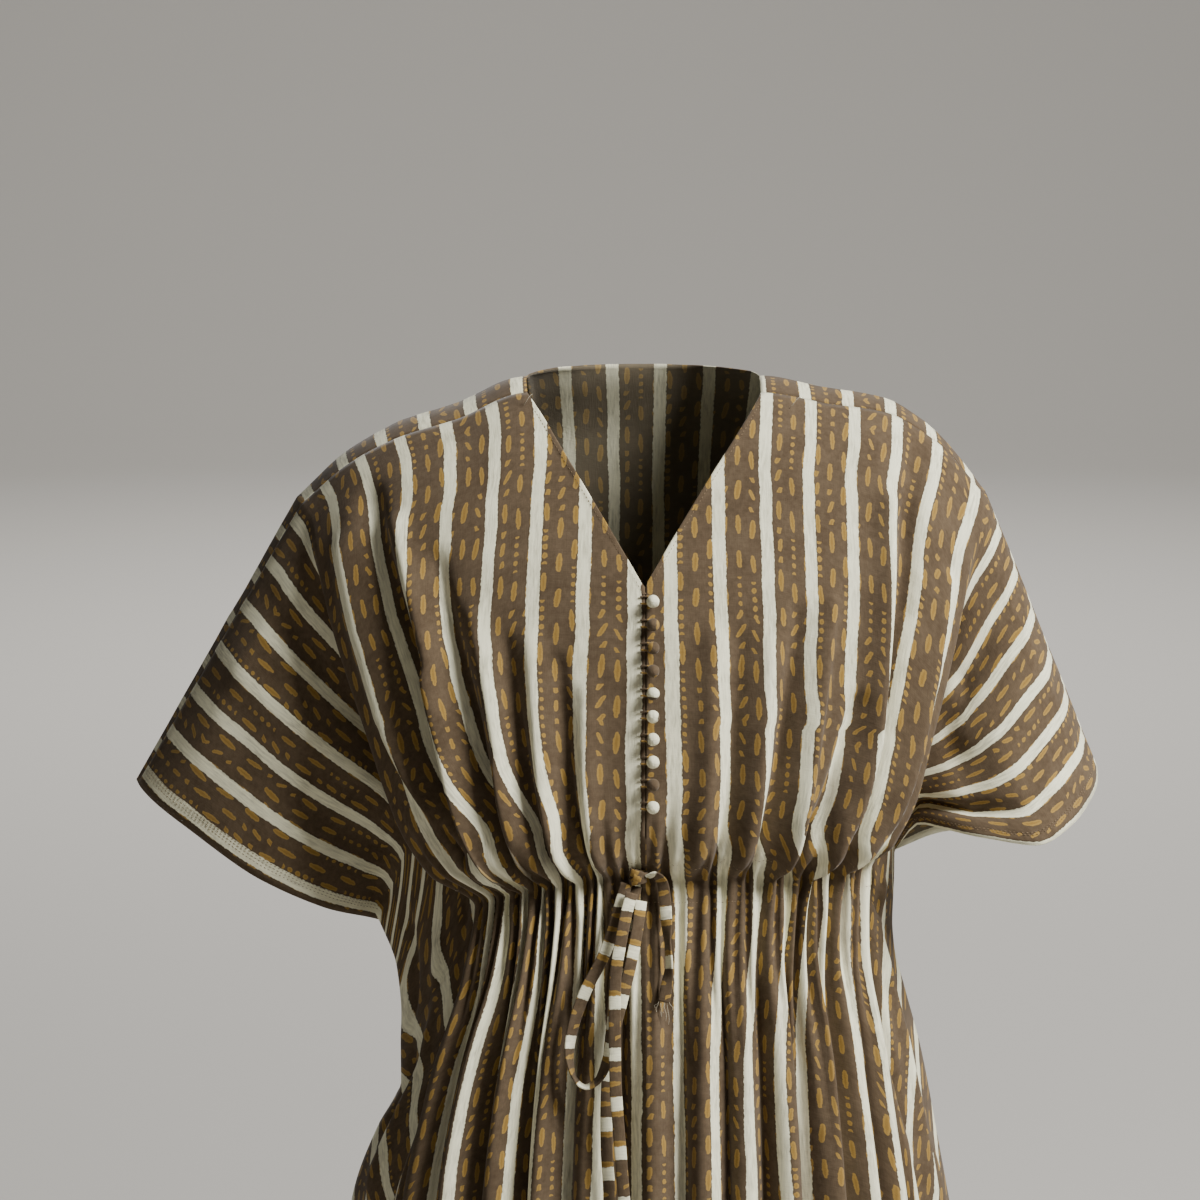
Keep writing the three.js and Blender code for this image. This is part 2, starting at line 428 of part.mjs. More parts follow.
function sleevePoint(panel, side, s, t) {
  const edge = edgeAt(panel, side, t);
  const outer = outerEdge(panel, side, t);
  const across = s - 1;
  const behind = s < foldEnd ? ease(across / (foldEnd - 1)) : (2 - s) / (2 - foldEnd);
  const bow = mix(sideBow, sleeveBow, ease((underarm - t) / sleeveOpensBy)) * behind * (1 - behind);
  const depthBehind = s < foldEnd ? Math.sqrt(clamp(across / (foldEnd - 1), 0, 1)) : behind + bow;
  const puffHere = Math.min(1, t / puffStart) * (t < 1 ? 1 : puffBelow);
  const puff = sleevePuff * Math.sin(Math.PI * across) * puffHere;
  return {
    x: mix(edge.x, outer.x, across) - sideSign(side) * edge.tuck * behind,
    y: mix(edge.y, outer.y, across) - facing(panel) * (edge.under * depthBehind - puff),
    z: mix(edge.z, outer.z, across),
  };
}

function smoothPoint(panel, side, s, t) {
  const p = s <= 1 ? bodyPoint(panel, side, s, t) : sleevePoint(panel, side, s, t);
  const nearWaist = Math.exp(-(((t - 1) / casingDip.reach) ** 2));
  const dip = casingDip[side] * Math.min(s, 1) ** 2 * nearWaist;
  return new THREE.Vector3(p.x, p.y, p.z - dip);
}

// How high the cloth stands over its smooth form at a place, how far it leans outwards (both in
// millimetres) and how far a flute's cloth crowds outwards (in s).
function ridges(rows, s, t) {
  let high = 0;
  let lean = 0;
  let before = 0;
  rows.forEach((fold, k) => {
    const dirS = (fold.toS - fold.s) * foldSpanAcross;
    const dirT = (fold.toT - fold.t) * foldSpanDown;
    const length = Math.hypot(dirS, dirT);
    const atS = (s - fold.s) * foldSpanAcross;
    const atT = (t - fold.t) * foldSpanDown;
    const share = (atS * dirS + atT * dirT) / (length * length);
    const off = Math.abs(atS * dirT - atT * dirS) / length;
    const past = Math.max(0, -share, share - 1) * length;
    const spread = Math.hypot(off, past) / fold.wide;
    const own = mix(fold.high, fold.toHigh, clamp(share, 0, 1)) * Math.exp(-spread * spread);
    const above = rows[k - 1];
    const carriesOn = above && fold.s === above.toS && fold.t === above.toT;
    const added = carriesOn ? (Math.abs(own) > Math.abs(before)) * (own - before) : own;
    high += added;
    lean += added * fold.lean;
    before = own;
  });
  const nip = 1 - foldNip.share * Math.exp(-(((t - 1) / foldNip.reach) ** 2));
  return { high: high * nip, lean: lean * nip };
}

function fluteWave(panel, side, s, t) {
  if (t <= 1) return { high: 0, lean: 0, crowd: 0 };
  const rows = flutes[panel];
  const straight = s * sideSign(side);
  const wander = fluteSway.reach * Math.sin(fluteSway.down * t + fluteSway.across * straight);
  const signed = clamp(straight + wander * clamp(t - 1, 0, 1), -1, 1);
  let k = 0;
  while (k < rows.length - 2 && rows[k + 1].s < signed) k += 1;
  const pitch = rows[k + 1].s - rows[k].s;
  const share = (signed - rows[k].s) / pitch;
  const angle = 2 * Math.PI * share;
  const grown = along(fluteGrowth, 'share', t);
  const high = mix(rows[k].high, rows[k + 1].high, share) * grown * Math.cos(angle);
  const lean = mix(rows[k].lean, rows[k + 1].lean, share) * high;
  const crowd = (fluteCrowd * pitch * Math.min(grown, 1) * Math.sin(angle)) / (2 * Math.PI);
  const outward = ease(s / fade.flute) * sideSign(side);
  return { high, lean: lean * outward, crowd: crowd * outward };
}

function gatherWave(s, t) {
  const reach = t < 1 ? gatherReach.up : gatherReach.down;
  const near = Math.exp(-(((t - 1) / reach) ** 2));
  return gatherHeight * near * Math.cos(2 * Math.PI * gathersPerHalf * s) * Math.min(1, s / fade.centre);
}

function foldShape(panel, side, s, t) {
  const fold = ridges(folds[panel][side], s, t);
  const wave = fluteWave(panel, side, s, t);
  const gather = s <= 1 ? gatherWave(s, t) : 0;
  const atEdge = ease((2 - s) / fade.edge + (t > sideFoldsFrom ? 1 : 0)) * ease(t / fade.shoulder);
  const turnedBy = Math.abs(s - turnedCloth.middle) / (turnedCloth.to - turnedCloth.middle);
  const inFold = s > turnedCloth.from && s < turnedCloth.to ? ease(turnedBy) : 1;
  const free = atEdge * inFold;
  const onBody = 1 - ease((s - turnedCloth.from) / fade.bodyEnd);
  return {
    high: (gather + fold.high + wave.high * onBody) * free,
    lean: (fold.lean * ease(s / fade.lean) + wave.lean * onBody) * free * leanShare,
    crowd: wave.crowd * onBody * free,
  };
}

// The cloth with its folds. How it runs outwards and down is measured over a short step each way.
const shortStep = 0.004;
function clothPoint(panel, side, s, t) {
  const p = smoothPoint(panel, side, s, t);
  const nearS = Math.max(s - shortStep, 0);
  const farS = Math.min(s + shortStep, 2);
  const upT = Math.max(t - shortStep, 0);
  const lowT = Math.min(t + shortStep, 2);
  const run = smoothPoint(panel, side, farS, t).sub(smoothPoint(panel, side, nearS, t));
  const fall = smoothPoint(panel, side, s, lowT).sub(smoothPoint(panel, side, s, upT));
  const normal = fall.clone().cross(run).normalize().multiplyScalar(sideSign(side) * -facing(panel));
  const shape = foldShape(panel, side, s, t);
  p.addScaledVector(normal, shape.high);
  p.addScaledVector(run.clone().normalize(), shape.lean);
  return p.addScaledVector(run, shape.crowd / (farS - nearS));
}

// ---- cloth walls ----
const evenShares = (from, to, count) => {
  const shares = [];
  for (let j = 1; j <= count; j += 1) shares.push(mix(from, to, j / count));
  return shares;
};
const outerShares = [...evenShares(1, foldEnd, foldColumns), ...evenShares(foldEnd, 2, sleeveColumns)];
const plainShares = [0, ...evenShares(0, 1, bodyColumns), ...outerShares];
const gatheredShares = [0, ...evenShares(0, 1, 2 * gathersPerHalf), ...outerShares];
plainShares[Math.round(neckShare * bodyColumns)] = neckShare;
const rowTimes = [...upperRows, ...skirtRows];
const isGathered = (row) => rowTimes[row] > casingRows.from && rowTimes[row] < casingRows.to;
const sharesOf = (row) => (isGathered(row) ? gatheredShares : plainShares);

const seamNormals = new Map();  // normals gathered at each seam, so that both pieces are mitred alike

class Sheet {
  constructor() {
    this.points = [];
    this.seams = [];
    this.triangles = [];
    this.byKey = new Map();
  }

  vertex(key, make, seam = null) {
    if (!this.byKey.has(key)) {
      this.byKey.set(key, this.points.length);
      this.points.push(make());
      this.seams.push(seam);
    }
    return this.byKey.get(key);
  }

  // A face of three or four corners, turned over where the other side of the sheet faces out.
  face(corners, turned) {
    const [a, b, c, d] = turned ? corners.slice().reverse() : corners;
    if (d === undefined) {
      this.triangles.push([a, b, c]);
      return;
    }
    const split = this.points[a].distanceTo(this.points[c]) <= this.points[b].distanceTo(this.points[d]);
    if (split) this.triangles.push([a, b, c], [a, c, d]);
    else this.triangles.push([a, b, d], [b, c, d]);
  }

  // Joins two rows of the sheet. Where their columns differ, it is zipped together with triangles.
  joinRows(upper, lower, upperAt, lowerAt, turned) {
    let i = 0;
    let j = 0;
    while (i < upper.length - 1 || j < lower.length - 1) {
      const nextUp = i < upper.length - 1 ? upper[i + 1] : Infinity;
      const nextLow = j < lower.length - 1 ? lower[j + 1] : Infinity;
      const corners = [upperAt(upper[i]), lowerAt(lower[j])];
      if (nextUp === nextLow && upper[i] === lower[j]) {
        this.face([...corners, lowerAt(nextLow), upperAt(nextUp)], turned);
        i += 1;
        j += 1;
      } else if (nextUp < nextLow) {
        this.face([...corners, upperAt(nextUp)], turned);
        i += 1;
      } else {
        this.face([...corners, lowerAt(nextLow)], turned);
        j += 1;
      }
    }
  }

  sumNormals() {
    this.normals = this.points.map(() => new THREE.Vector3());
    const faceNormals = this.triangles.map(([a, b, c]) => {
      const ab = this.points[b].clone().sub(this.points[a]);
      return ab.cross(this.points[c].clone().sub(this.points[a]));
    });
    this.triangles.forEach((corners, k) => corners.forEach((i) => this.normals[i].add(faceNormals[k])));
    this.normals.forEach((normal) => normal.normalize());
    // a corner between steep faces moves out further, so that the wall stays as thick as elsewhere
    this.mitres = this.points.map(() => 1);
    this.triangles.forEach((corners, k) => corners.forEach((i) => {
      const flatness = faceNormals[k].clone().normalize().dot(this.normals[i]);
      this.mitres[i] = Math.max(this.mitres[i], Math.min(mitreLimit, 1 / Math.max(flatness, 0.1)));
    }));
    this.normals.forEach((normal, i) => {
      const seam = this.seams[i];
      if (!seam) return;
      if (!seamNormals.has(seam)) seamNormals.set(seam, new THREE.Vector3());
      seamNormals.get(seam).add(normal);
    });
  }

  // A closed wall: the sheet moved out by half its thickness, in by the other half, and joined at its edges.
  thicken() {
    const count = this.points.length;
    const positions = [];
    for (const way of [0.5, -0.5]) {
      this.points.forEach((p, i) => {
        const seam = this.seams[i];
        const normal = seam ? seamNormals.get(seam).clone().normalize() : this.normals[i];
        const reach = way * wall * (seam ? 1 : this.mitres[i]);
        positions.push(...p.clone().addScaledVector(normal, reach).toArray());
      });
    }
    const index = [];
    const open = new Map();
    for (const [a, b, c] of this.triangles) {
      index.push(a, b, c, count + c, count + b, count + a);
      for (const [from, to] of [[a, b], [b, c], [c, a]]) {
        const back = `${to}:${from}`;
        if (open.has(back)) open.delete(back);
        else open.set(`${from}:${to}`, [from, to]);
      }
    }
    for (const [from, to] of open.values()) {
      index.push(from, count + from, count + to, from, count + to, to);
    }
    const geometry = new THREE.BufferGeometry();
    geometry.setAttribute('position', new THREE.Float32BufferAttribute(positions, 3));
    geometry.setIndex(index);
    geometry.computeVertexNormals();
    return geometry;
  }
}

// Moves a seam's point back into its own piece, to leave half of the gap.
const halfGap = seamGap / 2 + 0.05;
const sideGap = 0.45;           // each piece's share of the gap at the side seam, which is curved
function pullBack(point, neighbour, by) {
  return point.add(neighbour.sub(point).normalize().multiplyScalar(by));
}

const nameOf = (side, s, row) => `${side}:${s.toFixed(4)}:${row}`;
const beforeHem = plainShares[plainShares.length - 2];

function frontSheet() {
  const sheet = new Sheet();
  const tAt = (s, row) => (rowTimes[row] > 1 ? rowTimes[row] : mix(frontTop(s), 1, rowTimes[row]));
  const slitRow = upperRows.findIndex((share) => share >= slitEnd);
  const vertexAt = (side, row) => (s) => {
    const t = tAt(s, row);
    const joined = s === 0 && row >= slitRow;
    const onShoulder = row === 0 && s >= neckShare;
    const onSide = s === 2 && t >= underarm;
    const name = nameOf(side, s, row);
    const seam = onShoulder ? `shoulder:${name}` : (onSide && `side:${name}`) || null;
    return sheet.vertex(joined ? `centre:${row}` : name, () => {
      const point = clothPoint('front', side, s, t);
      if (joined) point.x = slitX;
      else if (s === 0) point.x = slitX + sideSign(side) * halfGap;
      if (onShoulder) return pullBack(point, clothPoint('front', side, s, tAt(s, 1)), halfGap);
      if (onSide) return pullBack(point, clothPoint('front', side, beforeHem, t), sideGap);
      return point;
    }, seam);
  };
  for (const side of ['left', 'right']) {
    for (let row = 0; row < rowTimes.length - 1; row += 1) {
      const turned = side === 'left';
      sheet.joinRows(sharesOf(row), sharesOf(row + 1), vertexAt(side, row), vertexAt(side, row + 1), turned);
    }
  }
  return sheet;
}

// Both panels meet row by row at the side seam, so the back's outer columns use the front's rows there.
function sideRowT(row) {
  if (row === 0 || rowTimes[row] > 1) return rowTimes[row];
  return mix(frontTop(2), 1, rowTimes[row]);
}

// The back's rows: up to its neckline and shoulder line, and on over the shoulder to the forward seam.
const overShoulderRows = [1, 0.5];
function backSheet() {
  const sheet = new Sheet();
  const overAt = (side, row) => (s) => {
    const onSeam = row === 0;
    const t = frontTop(s) * overShoulderRows[row];
    return sheet.vertex(`over:${nameOf(side, s, row)}`, () => {
      const point = clothPoint('front', side, s, t);
      return onSeam ? pullBack(point, clothPoint('front', side, s, t / 2), halfGap) : point;
    }, onSeam ? `shoulder:${nameOf(side, s, 0)}` : null);
  };
  const vertexAt = (side, row) => (s) => {
    const onSide = s === 2 && sideRowT(row) >= underarm;
    const t = s > 1 ? sideRowT(row) : rowTimes[row];
    const name = nameOf(side, s, row);
    return sheet.vertex(s === 0 ? `centre:${row}` : name, () => {
      const point = clothPoint('back', side, s, t);
      if (s === 0) point.x = 0;
      return onSide ? pullBack(point, clothPoint('back', side, beforeHem, t), sideGap) : point;
    }, onSide ? `side:${name}` : null);
  };
  const overShares = plainShares.filter((s) => s >= neckShare);
  for (const side of ['left', 'right']) {
    const turned = side === 'right';
    sheet.joinRows(overShares, overShares, overAt(side, 0), overAt(side, 1), turned);
    sheet.joinRows(overShares, overShares, overAt(side, 1), vertexAt(side, 0), turned);
    for (let row = 0; row < rowTimes.length - 1; row += 1) {
      sheet.joinRows(sharesOf(row), sharesOf(row + 1), vertexAt(side, row), vertexAt(side, row + 1), turned);
    }
  }
  return sheet;
}

// ---- what lies on the front ----
// The front's own point straight behind a place given by x and z.
function frontAt(x, z, point = clothPoint) {
  const side = x < 0 ? 'left' : 'right';
  let s = 0.1;
  let t = clamp(z / waistZ, 0.42, 1.9);
  for (let pass = 0; pass < 30; pass += 1) {
    const here = bodyPoint('front', side, s, t);
    const alongS = (bodyPoint('front', side, s + 0.01, t).x - here.x) / 0.01;
    const alongT = (bodyPoint('front', side, s, t + 0.01).z - here.z) / 0.01;
    s = clamp(s + (x - here.x) / alongS, 0, 1);
    t = clamp(t + (z - here.z) / alongT, 0.3, 2);
  }
  return point('front', side, s, t);
}

function namedMesh(name, geometry, color, roughness) {
  const mesh = new THREE.Mesh(geometry, new THREE.MeshStandardMaterial({ color, roughness, metalness: 0 }));
  mesh.name = name;
  return mesh;
}

const browns = { cloth: 0x63513f, cream: 0xe4e1d3, ochre: 0xb08c52 };
const twoDigits = (number) => String(number).padStart(2, '0');

function buttonAt(z) {
  const seat = frontAt(buttonX, z);
  const behind = seat.y - wall / 2 - seamGap;
  const profile = [new THREE.Vector2(0, 0), new THREE.Vector2(shankRadius, 0)];
  const ballY = shankLength + buttonRadius - shankSink;
  const startAngle = Math.asin(shankRadius / buttonRadius);
  for (let k = 0; k < ballRings; k += 1) {
    const angle = mix(startAngle, Math.PI * 0.97, k / (ballRings - 1));
    profile.push(new THREE.Vector2(Math.sin(angle) * buttonRadius, ballY - Math.cos(angle) * buttonRadius));
  }
  profile.push(new THREE.Vector2(0, ballY + buttonRadius));
  const ball = new THREE.LatheGeometry(profile, ballSides);
  ball.scale(1, -1, 1);
  flipFaces(ball);
  return ball.translate(buttonX, behind, z);
}

function flipFaces(geometry) {
  const index = geometry.getIndex();
  for (let i = 0; i < index.count; i += 3) {
    const first = index.getX(i);
    index.setX(i, index.getX(i + 1));
    index.setX(i + 1, first);
  }
}

// A loop lies on the cloth, out from the slit's edge and round the button's shank.
function loopAt(z) {
  const lift = wall / 2 + seamGap + loopThickness / 2;
  const out = buttonX + shankRadius + loopClearance + loopThickness / 2;
  const half = loopHalfHeight;
  const sewnX = slitX - loopSewn;
  const route = [
    [sewnX, -half * 0.9], [slitX, -half], [buttonX - 1, -half], [out - 0.6, -half * 0.6],
    [out, 0], [out - 0.6, half * 0.6], [buttonX - 1, half], [slitX, half], [sewnX, half * 0.9],
  ].map(([x, up]) => new THREE.Vector3(x, frontAt(x, z + up).y - lift, z + up));
  return tube(new THREE.CatmullRomCurve3(route), roundSection(loopThickness / 2, 6), 8);
}

function roundSection(radius, sides) {
  const corners = [];
  for (let k = 0; k < sides; k += 1) {
    const angle = (2 * Math.PI * k) / sides;
    corners.push(new THREE.Vector2(Math.cos(angle) * radius, Math.sin(angle) * radius));
  }
  return new THREE.Shape(corners);
}

// A flat tube's section: thin along the first axis, wide along the second.
function flatSection(thickness, width) {
  const half = thickness / 2;
  const side = width / 2;
  const corner = half * 0.8;
  const outline = [
    [half, corner - side], [half, side - corner], [half * 0.4, side], [-half * 0.4, side],
    [-half, side - corner], [-half, corner - side], [-half * 0.4, -side], [half * 0.4, -side],
  ];
  return new THREE.Shape(outline.map(([x, y]) => new THREE.Vector2(x, y)));
}

function tube(path, section, steps) {
  return new THREE.ExtrudeGeometry(section, { steps, extrudePath: path, bevelEnabled: false });
}

function tiePiece(route) {
  const points = route.map(([x, z, lift]) => new THREE.Vector3(x, frontAt(x, z, smoothPoint).y - lift, z));
  return tube(new THREE.CatmullRomCurve3(points), flatSection(tieThickness, tieWidth), route.length);
}

function tieKnot() {
  const geometry = new THREE.SphereGeometry(0.5, 12, 9);
  geometry.scale(knot.width, knot.depth, knot.height);
  const y = frontAt(knot.x, knot.z, smoothPoint).y - knot.lift - knot.depth / 2;
  return geometry.translate(knot.x, y, knot.z);
}

// ---- the garment ----
const kaftan = new THREE.Group();
const front = frontSheet();
const back = backSheet();
front.sumNormals();
back.sumNormals();
kaftan.add(namedMesh('front', front.thicken(), browns.cloth, 0.9));
kaftan.add(namedMesh('back', back.thicken(), browns.cloth, 0.9));
for (let k = 0; k < buttonCount; k += 1) {
  const z = mix(firstButtonZ, lastButtonZ, k / (buttonCount - 1));
  kaftan.add(namedMesh(`button_${twoDigits(k + 1)}`, buttonAt(z), browns.cream, 0.85));
  kaftan.add(namedMesh(`loop_${twoDigits(k + 1)}`, loopAt(z), browns.cloth, 0.9));
}
kaftan.add(namedMesh('tie_knot', tieKnot(), browns.cloth, 0.9));
for (const [name, route] of Object.entries(tieRoutes)) {
  kaftan.add(namedMesh(name, tiePiece(route), browns.ochre, 0.9));
}

export default kaftan;
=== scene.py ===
import math
from functools import partial

import bpy
import numpy as np
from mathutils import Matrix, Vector, noise


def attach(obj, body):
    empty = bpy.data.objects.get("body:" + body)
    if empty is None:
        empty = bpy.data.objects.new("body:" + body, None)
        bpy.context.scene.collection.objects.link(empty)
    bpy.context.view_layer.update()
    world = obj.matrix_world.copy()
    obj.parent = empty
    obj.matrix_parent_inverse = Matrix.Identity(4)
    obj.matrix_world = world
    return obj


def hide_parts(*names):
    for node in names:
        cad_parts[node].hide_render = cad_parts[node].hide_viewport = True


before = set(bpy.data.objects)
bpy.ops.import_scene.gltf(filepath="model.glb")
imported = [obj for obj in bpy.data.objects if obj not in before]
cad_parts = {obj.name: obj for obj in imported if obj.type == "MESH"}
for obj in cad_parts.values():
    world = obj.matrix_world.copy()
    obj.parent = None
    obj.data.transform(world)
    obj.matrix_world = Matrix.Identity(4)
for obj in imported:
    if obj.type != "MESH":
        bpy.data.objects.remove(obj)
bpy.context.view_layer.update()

# A block-printed cotton kaftan in its worn form. Objects are in metres; the garment's own tables are
# in millimetres, as a cutter writes them. "left" is the side at -X, t runs down and s out from the centre.
mm = 0.001
print("frame loaded:", len(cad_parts), "nodes")

# the camera stands in front and a little above
view = {"target": (-0.033, 0, -0.175), "distance": 2.8, "elevation": 9, "focal": 107.7, "sensor": 36}
studio = {
    "floorZ": -1.13, "floorRadius": 9, "coveRadius": 2.5, "wallTop": 3.2, "sides": 96, "flatShare": 0.98,
    "floorColour": "#bfbbb4",
    "key": {"place": (2.25, -1.3, 2.0), "size": 1.3, "power": 262, "target": view["target"]},
    "fill": {"place": (-2.6, -1.9, 0.2), "size": 1.8, "power": 2, "target": view["target"]},
    "wash": {"place": (0, 5.2, 3.4), "size": 4, "power": 330, "target": (0, 6.5, -1.13)},
    "worldColour": "#dcdad6", "worldStrength": 0.065,
}


def linear(hexColour):
    # sRGB hex to the linear colour that Blender's nodes take
    values = [int(hexColour[i:i + 2], 16) / 255 for i in (1, 3, 5)]
    return (*[v / 12.92 if v <= 0.04045 else ((v + 0.055) / 1.055) ** 2.4 for v in values], 1)


def addNode(tree, kind, inputs=(), **settings):
    # one node with its settings; inputs are values or the sockets that feed it
    node = tree.nodes.new("ShaderNode" + kind)
    for name, value in settings.items():
        setattr(node, name, value)
    for key, value in inputs.items() if isinstance(inputs, dict) else enumerate(inputs):
        if isinstance(value, bpy.types.NodeSocket):
            tree.links.new(value, node.inputs[key])
        elif value is not None:
            node.inputs[key].default_value = value
    return node.outputs[0] if node.outputs else node


def newMaterial(name):
    material = bpy.data.materials.new(name)
    material.use_nodes = True
    material.node_tree.nodes.clear()
    return material, partial(addNode, material.node_tree)


def addObject(name, data):
    made = bpy.data.objects.new(name, data)
    bpy.context.scene.collection.objects.link(made)
    return made


def addMesh(name, points, faces, spots, materials):
    # a smooth mesh from points in millimetres; spots are its places on the flat print, if it has any
    mesh = bpy.data.meshes.new(name)
    mesh.from_pydata((np.asarray(points) * mm).tolist(), [], faces)
    if spots is not None:
        vertex = np.empty(len(mesh.loops), np.int32)
        mesh.loops.foreach_get("vertex_index", vertex)
        flat = (np.asarray(spots) * mm)[vertex].astype(np.float32)
        mesh.uv_layers.new(name="flatCut").uv.foreach_set("vector", flat.ravel())
    mesh.polygons.foreach_set("use_smooth", [True] * len(mesh.polygons))
    for material in materials:
        mesh.materials.append(material)
    return addObject(name, mesh)


def standsFor(piece, name):
    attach(piece, "root")
    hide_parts(name)


def aim(thing, place, target):
    thing.location = place
    thing.rotation_euler = (Vector(target) - Vector(place)).to_track_quat("-Z", "Y").to_euler()


lens = bpy.data.cameras.new("camera")
lens.lens, lens.sensor_width = view["focal"], view["sensor"]
camera = addObject("camera", lens)
tilt = math.radians(view["elevation"])
stand = Vector((0, -math.cos(tilt), math.sin(tilt))) * view["distance"]
aim(camera, Vector(view["target"]) + stand, view["target"])
bpy.context.scene.camera = camera

# a large softbox high on the right, a weak one on the left, and a wash over the floor behind
for name in ("key", "fill", "wash"):
    given = studio[name]
    lamp = bpy.data.lights.new(name, "AREA")
    lamp.size, lamp.energy = given["size"], given["power"]
    aim(addObject(name, lamp), given["place"], given["target"])

world = bpy.data.worlds.new("studio")
world.use_nodes = True
background = world.node_tree.nodes["Background"]
background.inputs["Color"].default_value = linear(studio["worldColour"])
background.inputs["Strength"].default_value = studio["worldStrength"]
bpy.context.scene.world = world

# a round floor whose edge curves up into a low wall, so that no horizon shows from any side
bends = [math.radians(angle) for angle in range(0, 91, 10)]
profile = [(studio["flatShare"] * studio["floorRadius"], studio["floorZ"])]    # the floor itself is flat
profile += [(studio["floorRadius"] + studio["coveRadius"] * math.sin(a),
             studio["floorZ"] + studio["coveRadius"] * (1 - math.cos(a))) for a in bends]
profile.append((profile[-1][0], studio["wallTop"]))
turns, rings = studio["sides"], len(profile)
corners = [(r * math.cos(k * math.tau / turns), r * math.sin(k * math.tau / turns), z)
           for r, z in profile for k in range(turns)]
walls = [(ring * turns + k, (ring + 1) * turns + k, (ring + 1) * turns + (k + 1) % turns,
          ring * turns + (k + 1) % turns) for ring in range(rings - 1) for k in range(turns)]
floorMesh = bpy.data.meshes.new("floor")
floorMesh.from_pydata(corners, [], [tuple(range(turns))] + walls)
floorMesh.polygons.foreach_set("use_smooth", [True] * len(floorMesh.polygons))
floor = addObject("floor", floorMesh)
# painted studio floor: even, matt and pale
floorPaint, node = newMaterial("mattStudioPaint")
paint = node("BsdfPrincipled", {"Base Color": linear(studio["floorColour"]), "Roughness": 0.9})
node("OutputMaterial", [paint])
floorMesh.materials.append(floorPaint)
print("camera, light and floor ready")

# the garment's own sizes, the same as its solids have
size = {
    "neckHalfWidth": 90, "backNeckDepth": 60, "backNeckRise": 4, "vDepth": 148, "waistZ": -372,
    "hemZ": -1110, "shoulderFlat": 295, "shoulderRound": 60, "slitX": 1, "slitEnd": 0.9,
    "foldEnd": 1.12, "underarm": 0.6, "sleevePuff": 12, "puffBelow": 1.5, "sleeveBow": 1.7, "sideBow": -0.5,
    "sleeveOpensBy": 0.15, "waistSpread": 0.22,
}


def table(columns, *rows):
    return dict(zip(columns.split(), np.array(rows, float).T))


shoulderLine = {
    "left": table("t x z", (0, 0, 0), (0.305, 90, 0), (0.5, 145, -21), (0.66, 190, -36),
                  (0.82, 229, -58), (1, 268, -94)),
    "right": table("t x z", (0, 0, 0), (0.305, 90, 0), (0.5, 142, -9), (0.66, 184, -16),
                   (0.82, 224, -40), (1, 266, -89)),
}
bodyDepth = {   # depth of the filled-out body, by how far below the neck
    "front": table("t y", (-20, 34), (0, 45), (30, 60), (60, 73), (100, 90), (148, 110), (200, 123),
                   (260, 131), (320, 137), (350, 132), (372, 117), (396, 124), (450, 140), (520, 152),
                   (620, 165), (800, 184), (1110, 214)),
    "back": table("t y", (-20, 50), (0, 62), (30, 76), (60, 86), (100, 95), (150, 101), (220, 99),
                  (300, 92), (345, 90), (372, 78), (396, 86), (450, 104), (520, 120), (620, 136),
                  (800, 156), (1110, 190)),
}
edgeColumns = "t x y z tuck under"      # where the body cloth hangs over each sleeve, and turns back
hangingEdge = {
    "front": {
        "left": table(
            edgeColumns,
            (0, -268, 0, -94, 0, 0), (0.03, -263, -16, -98, 0, 1), (0.08, -255, -30, -108, 2, 3),
            (0.2, -249, -50, -137, 14, 12), (0.35, -239, -62, -181, 34, 22),
            (0.5, -224, -72, -226, 52, 36), (0.65, -208, -82, -268, 60, 42),
            (0.8, -190, -92, -312, 58, 43), (0.92, -162, -98, -349, 36, 34),
            (1, -127, -91, -374, 8, 20), (1.07, -135, -103, -424, 12, 22),
            (1.2, -161, -121, -520, 18, 28), (1.33, -180, -134, -617, 18, 28),
            (2, -238, -172, -1110, 12, 24)),
        "right": table(
            edgeColumns,
            (0, 266, 0, -89, 0, 0), (0.03, 266, -16, -94, 0, 1), (0.08, 263, -30, -106, 2, 3),
            (0.2, 251, -48, -136, 8, 13), (0.35, 243, -60, -178, 16, 25),
            (0.5, 232, -72, -225, 22, 35), (0.65, 220, -82, -270, 24, 42),
            (0.8, 207, -92, -318, 24, 44), (0.92, 190, -92, -348, 18, 34),
            (1, 172, -74, -373, 8, 18), (1.07, 170, -82, -424, 8, 16),
            (1.2, 184, -96, -520, 10, 18), (1.33, 198, -108, -617, 10, 18),
            (2, 262, -150, -1110, 8, 16)),
    },
    "back": {
        "left": table(
            edgeColumns,
            (0, -268, 0, -94, 0, 0), (0.03, -265, 14, -98, 0, 1), (0.08, -259, 28, -108, 2, 3),
            (0.2, -252, 44, -138, 8, 10), (0.35, -241, 58, -182, 20, 18),
            (0.5, -227, 68, -228, 32, 25), (0.65, -212, 76, -272, 38, 30),
            (0.8, -196, 81, -316, 36, 32), (0.92, -176, 80, -349, 22, 26),
            (1, -148, 66, -373, 6, 16), (1.07, -146, 76, -424, 6, 16),
            (1.33, -172, 104, -617, 8, 16), (2, -234, 142, -1110, 8, 14)),
        "right": table(
            edgeColumns,
            (0, 266, 0, -89, 0, 0), (0.03, 266, 14, -94, 0, 1), (0.08, 262, 28, -106, 2, 3),
            (0.2, 252, 44, -137, 8, 10), (0.35, 244, 58, -180, 20, 18),
            (0.5, 234, 68, -226, 32, 25), (0.65, 221, 76, -272, 36, 30),
            (0.8, 206, 80, -316, 34, 32), (0.92, 188, 78, -348, 20, 26),
            (1, 160, 64, -373, 6, 16), (1.07, 158, 74, -424, 6, 16),
            (1.33, 184, 100, -617, 8, 16), (2, 254, 140, -1110, 8, 14)),
    },
}
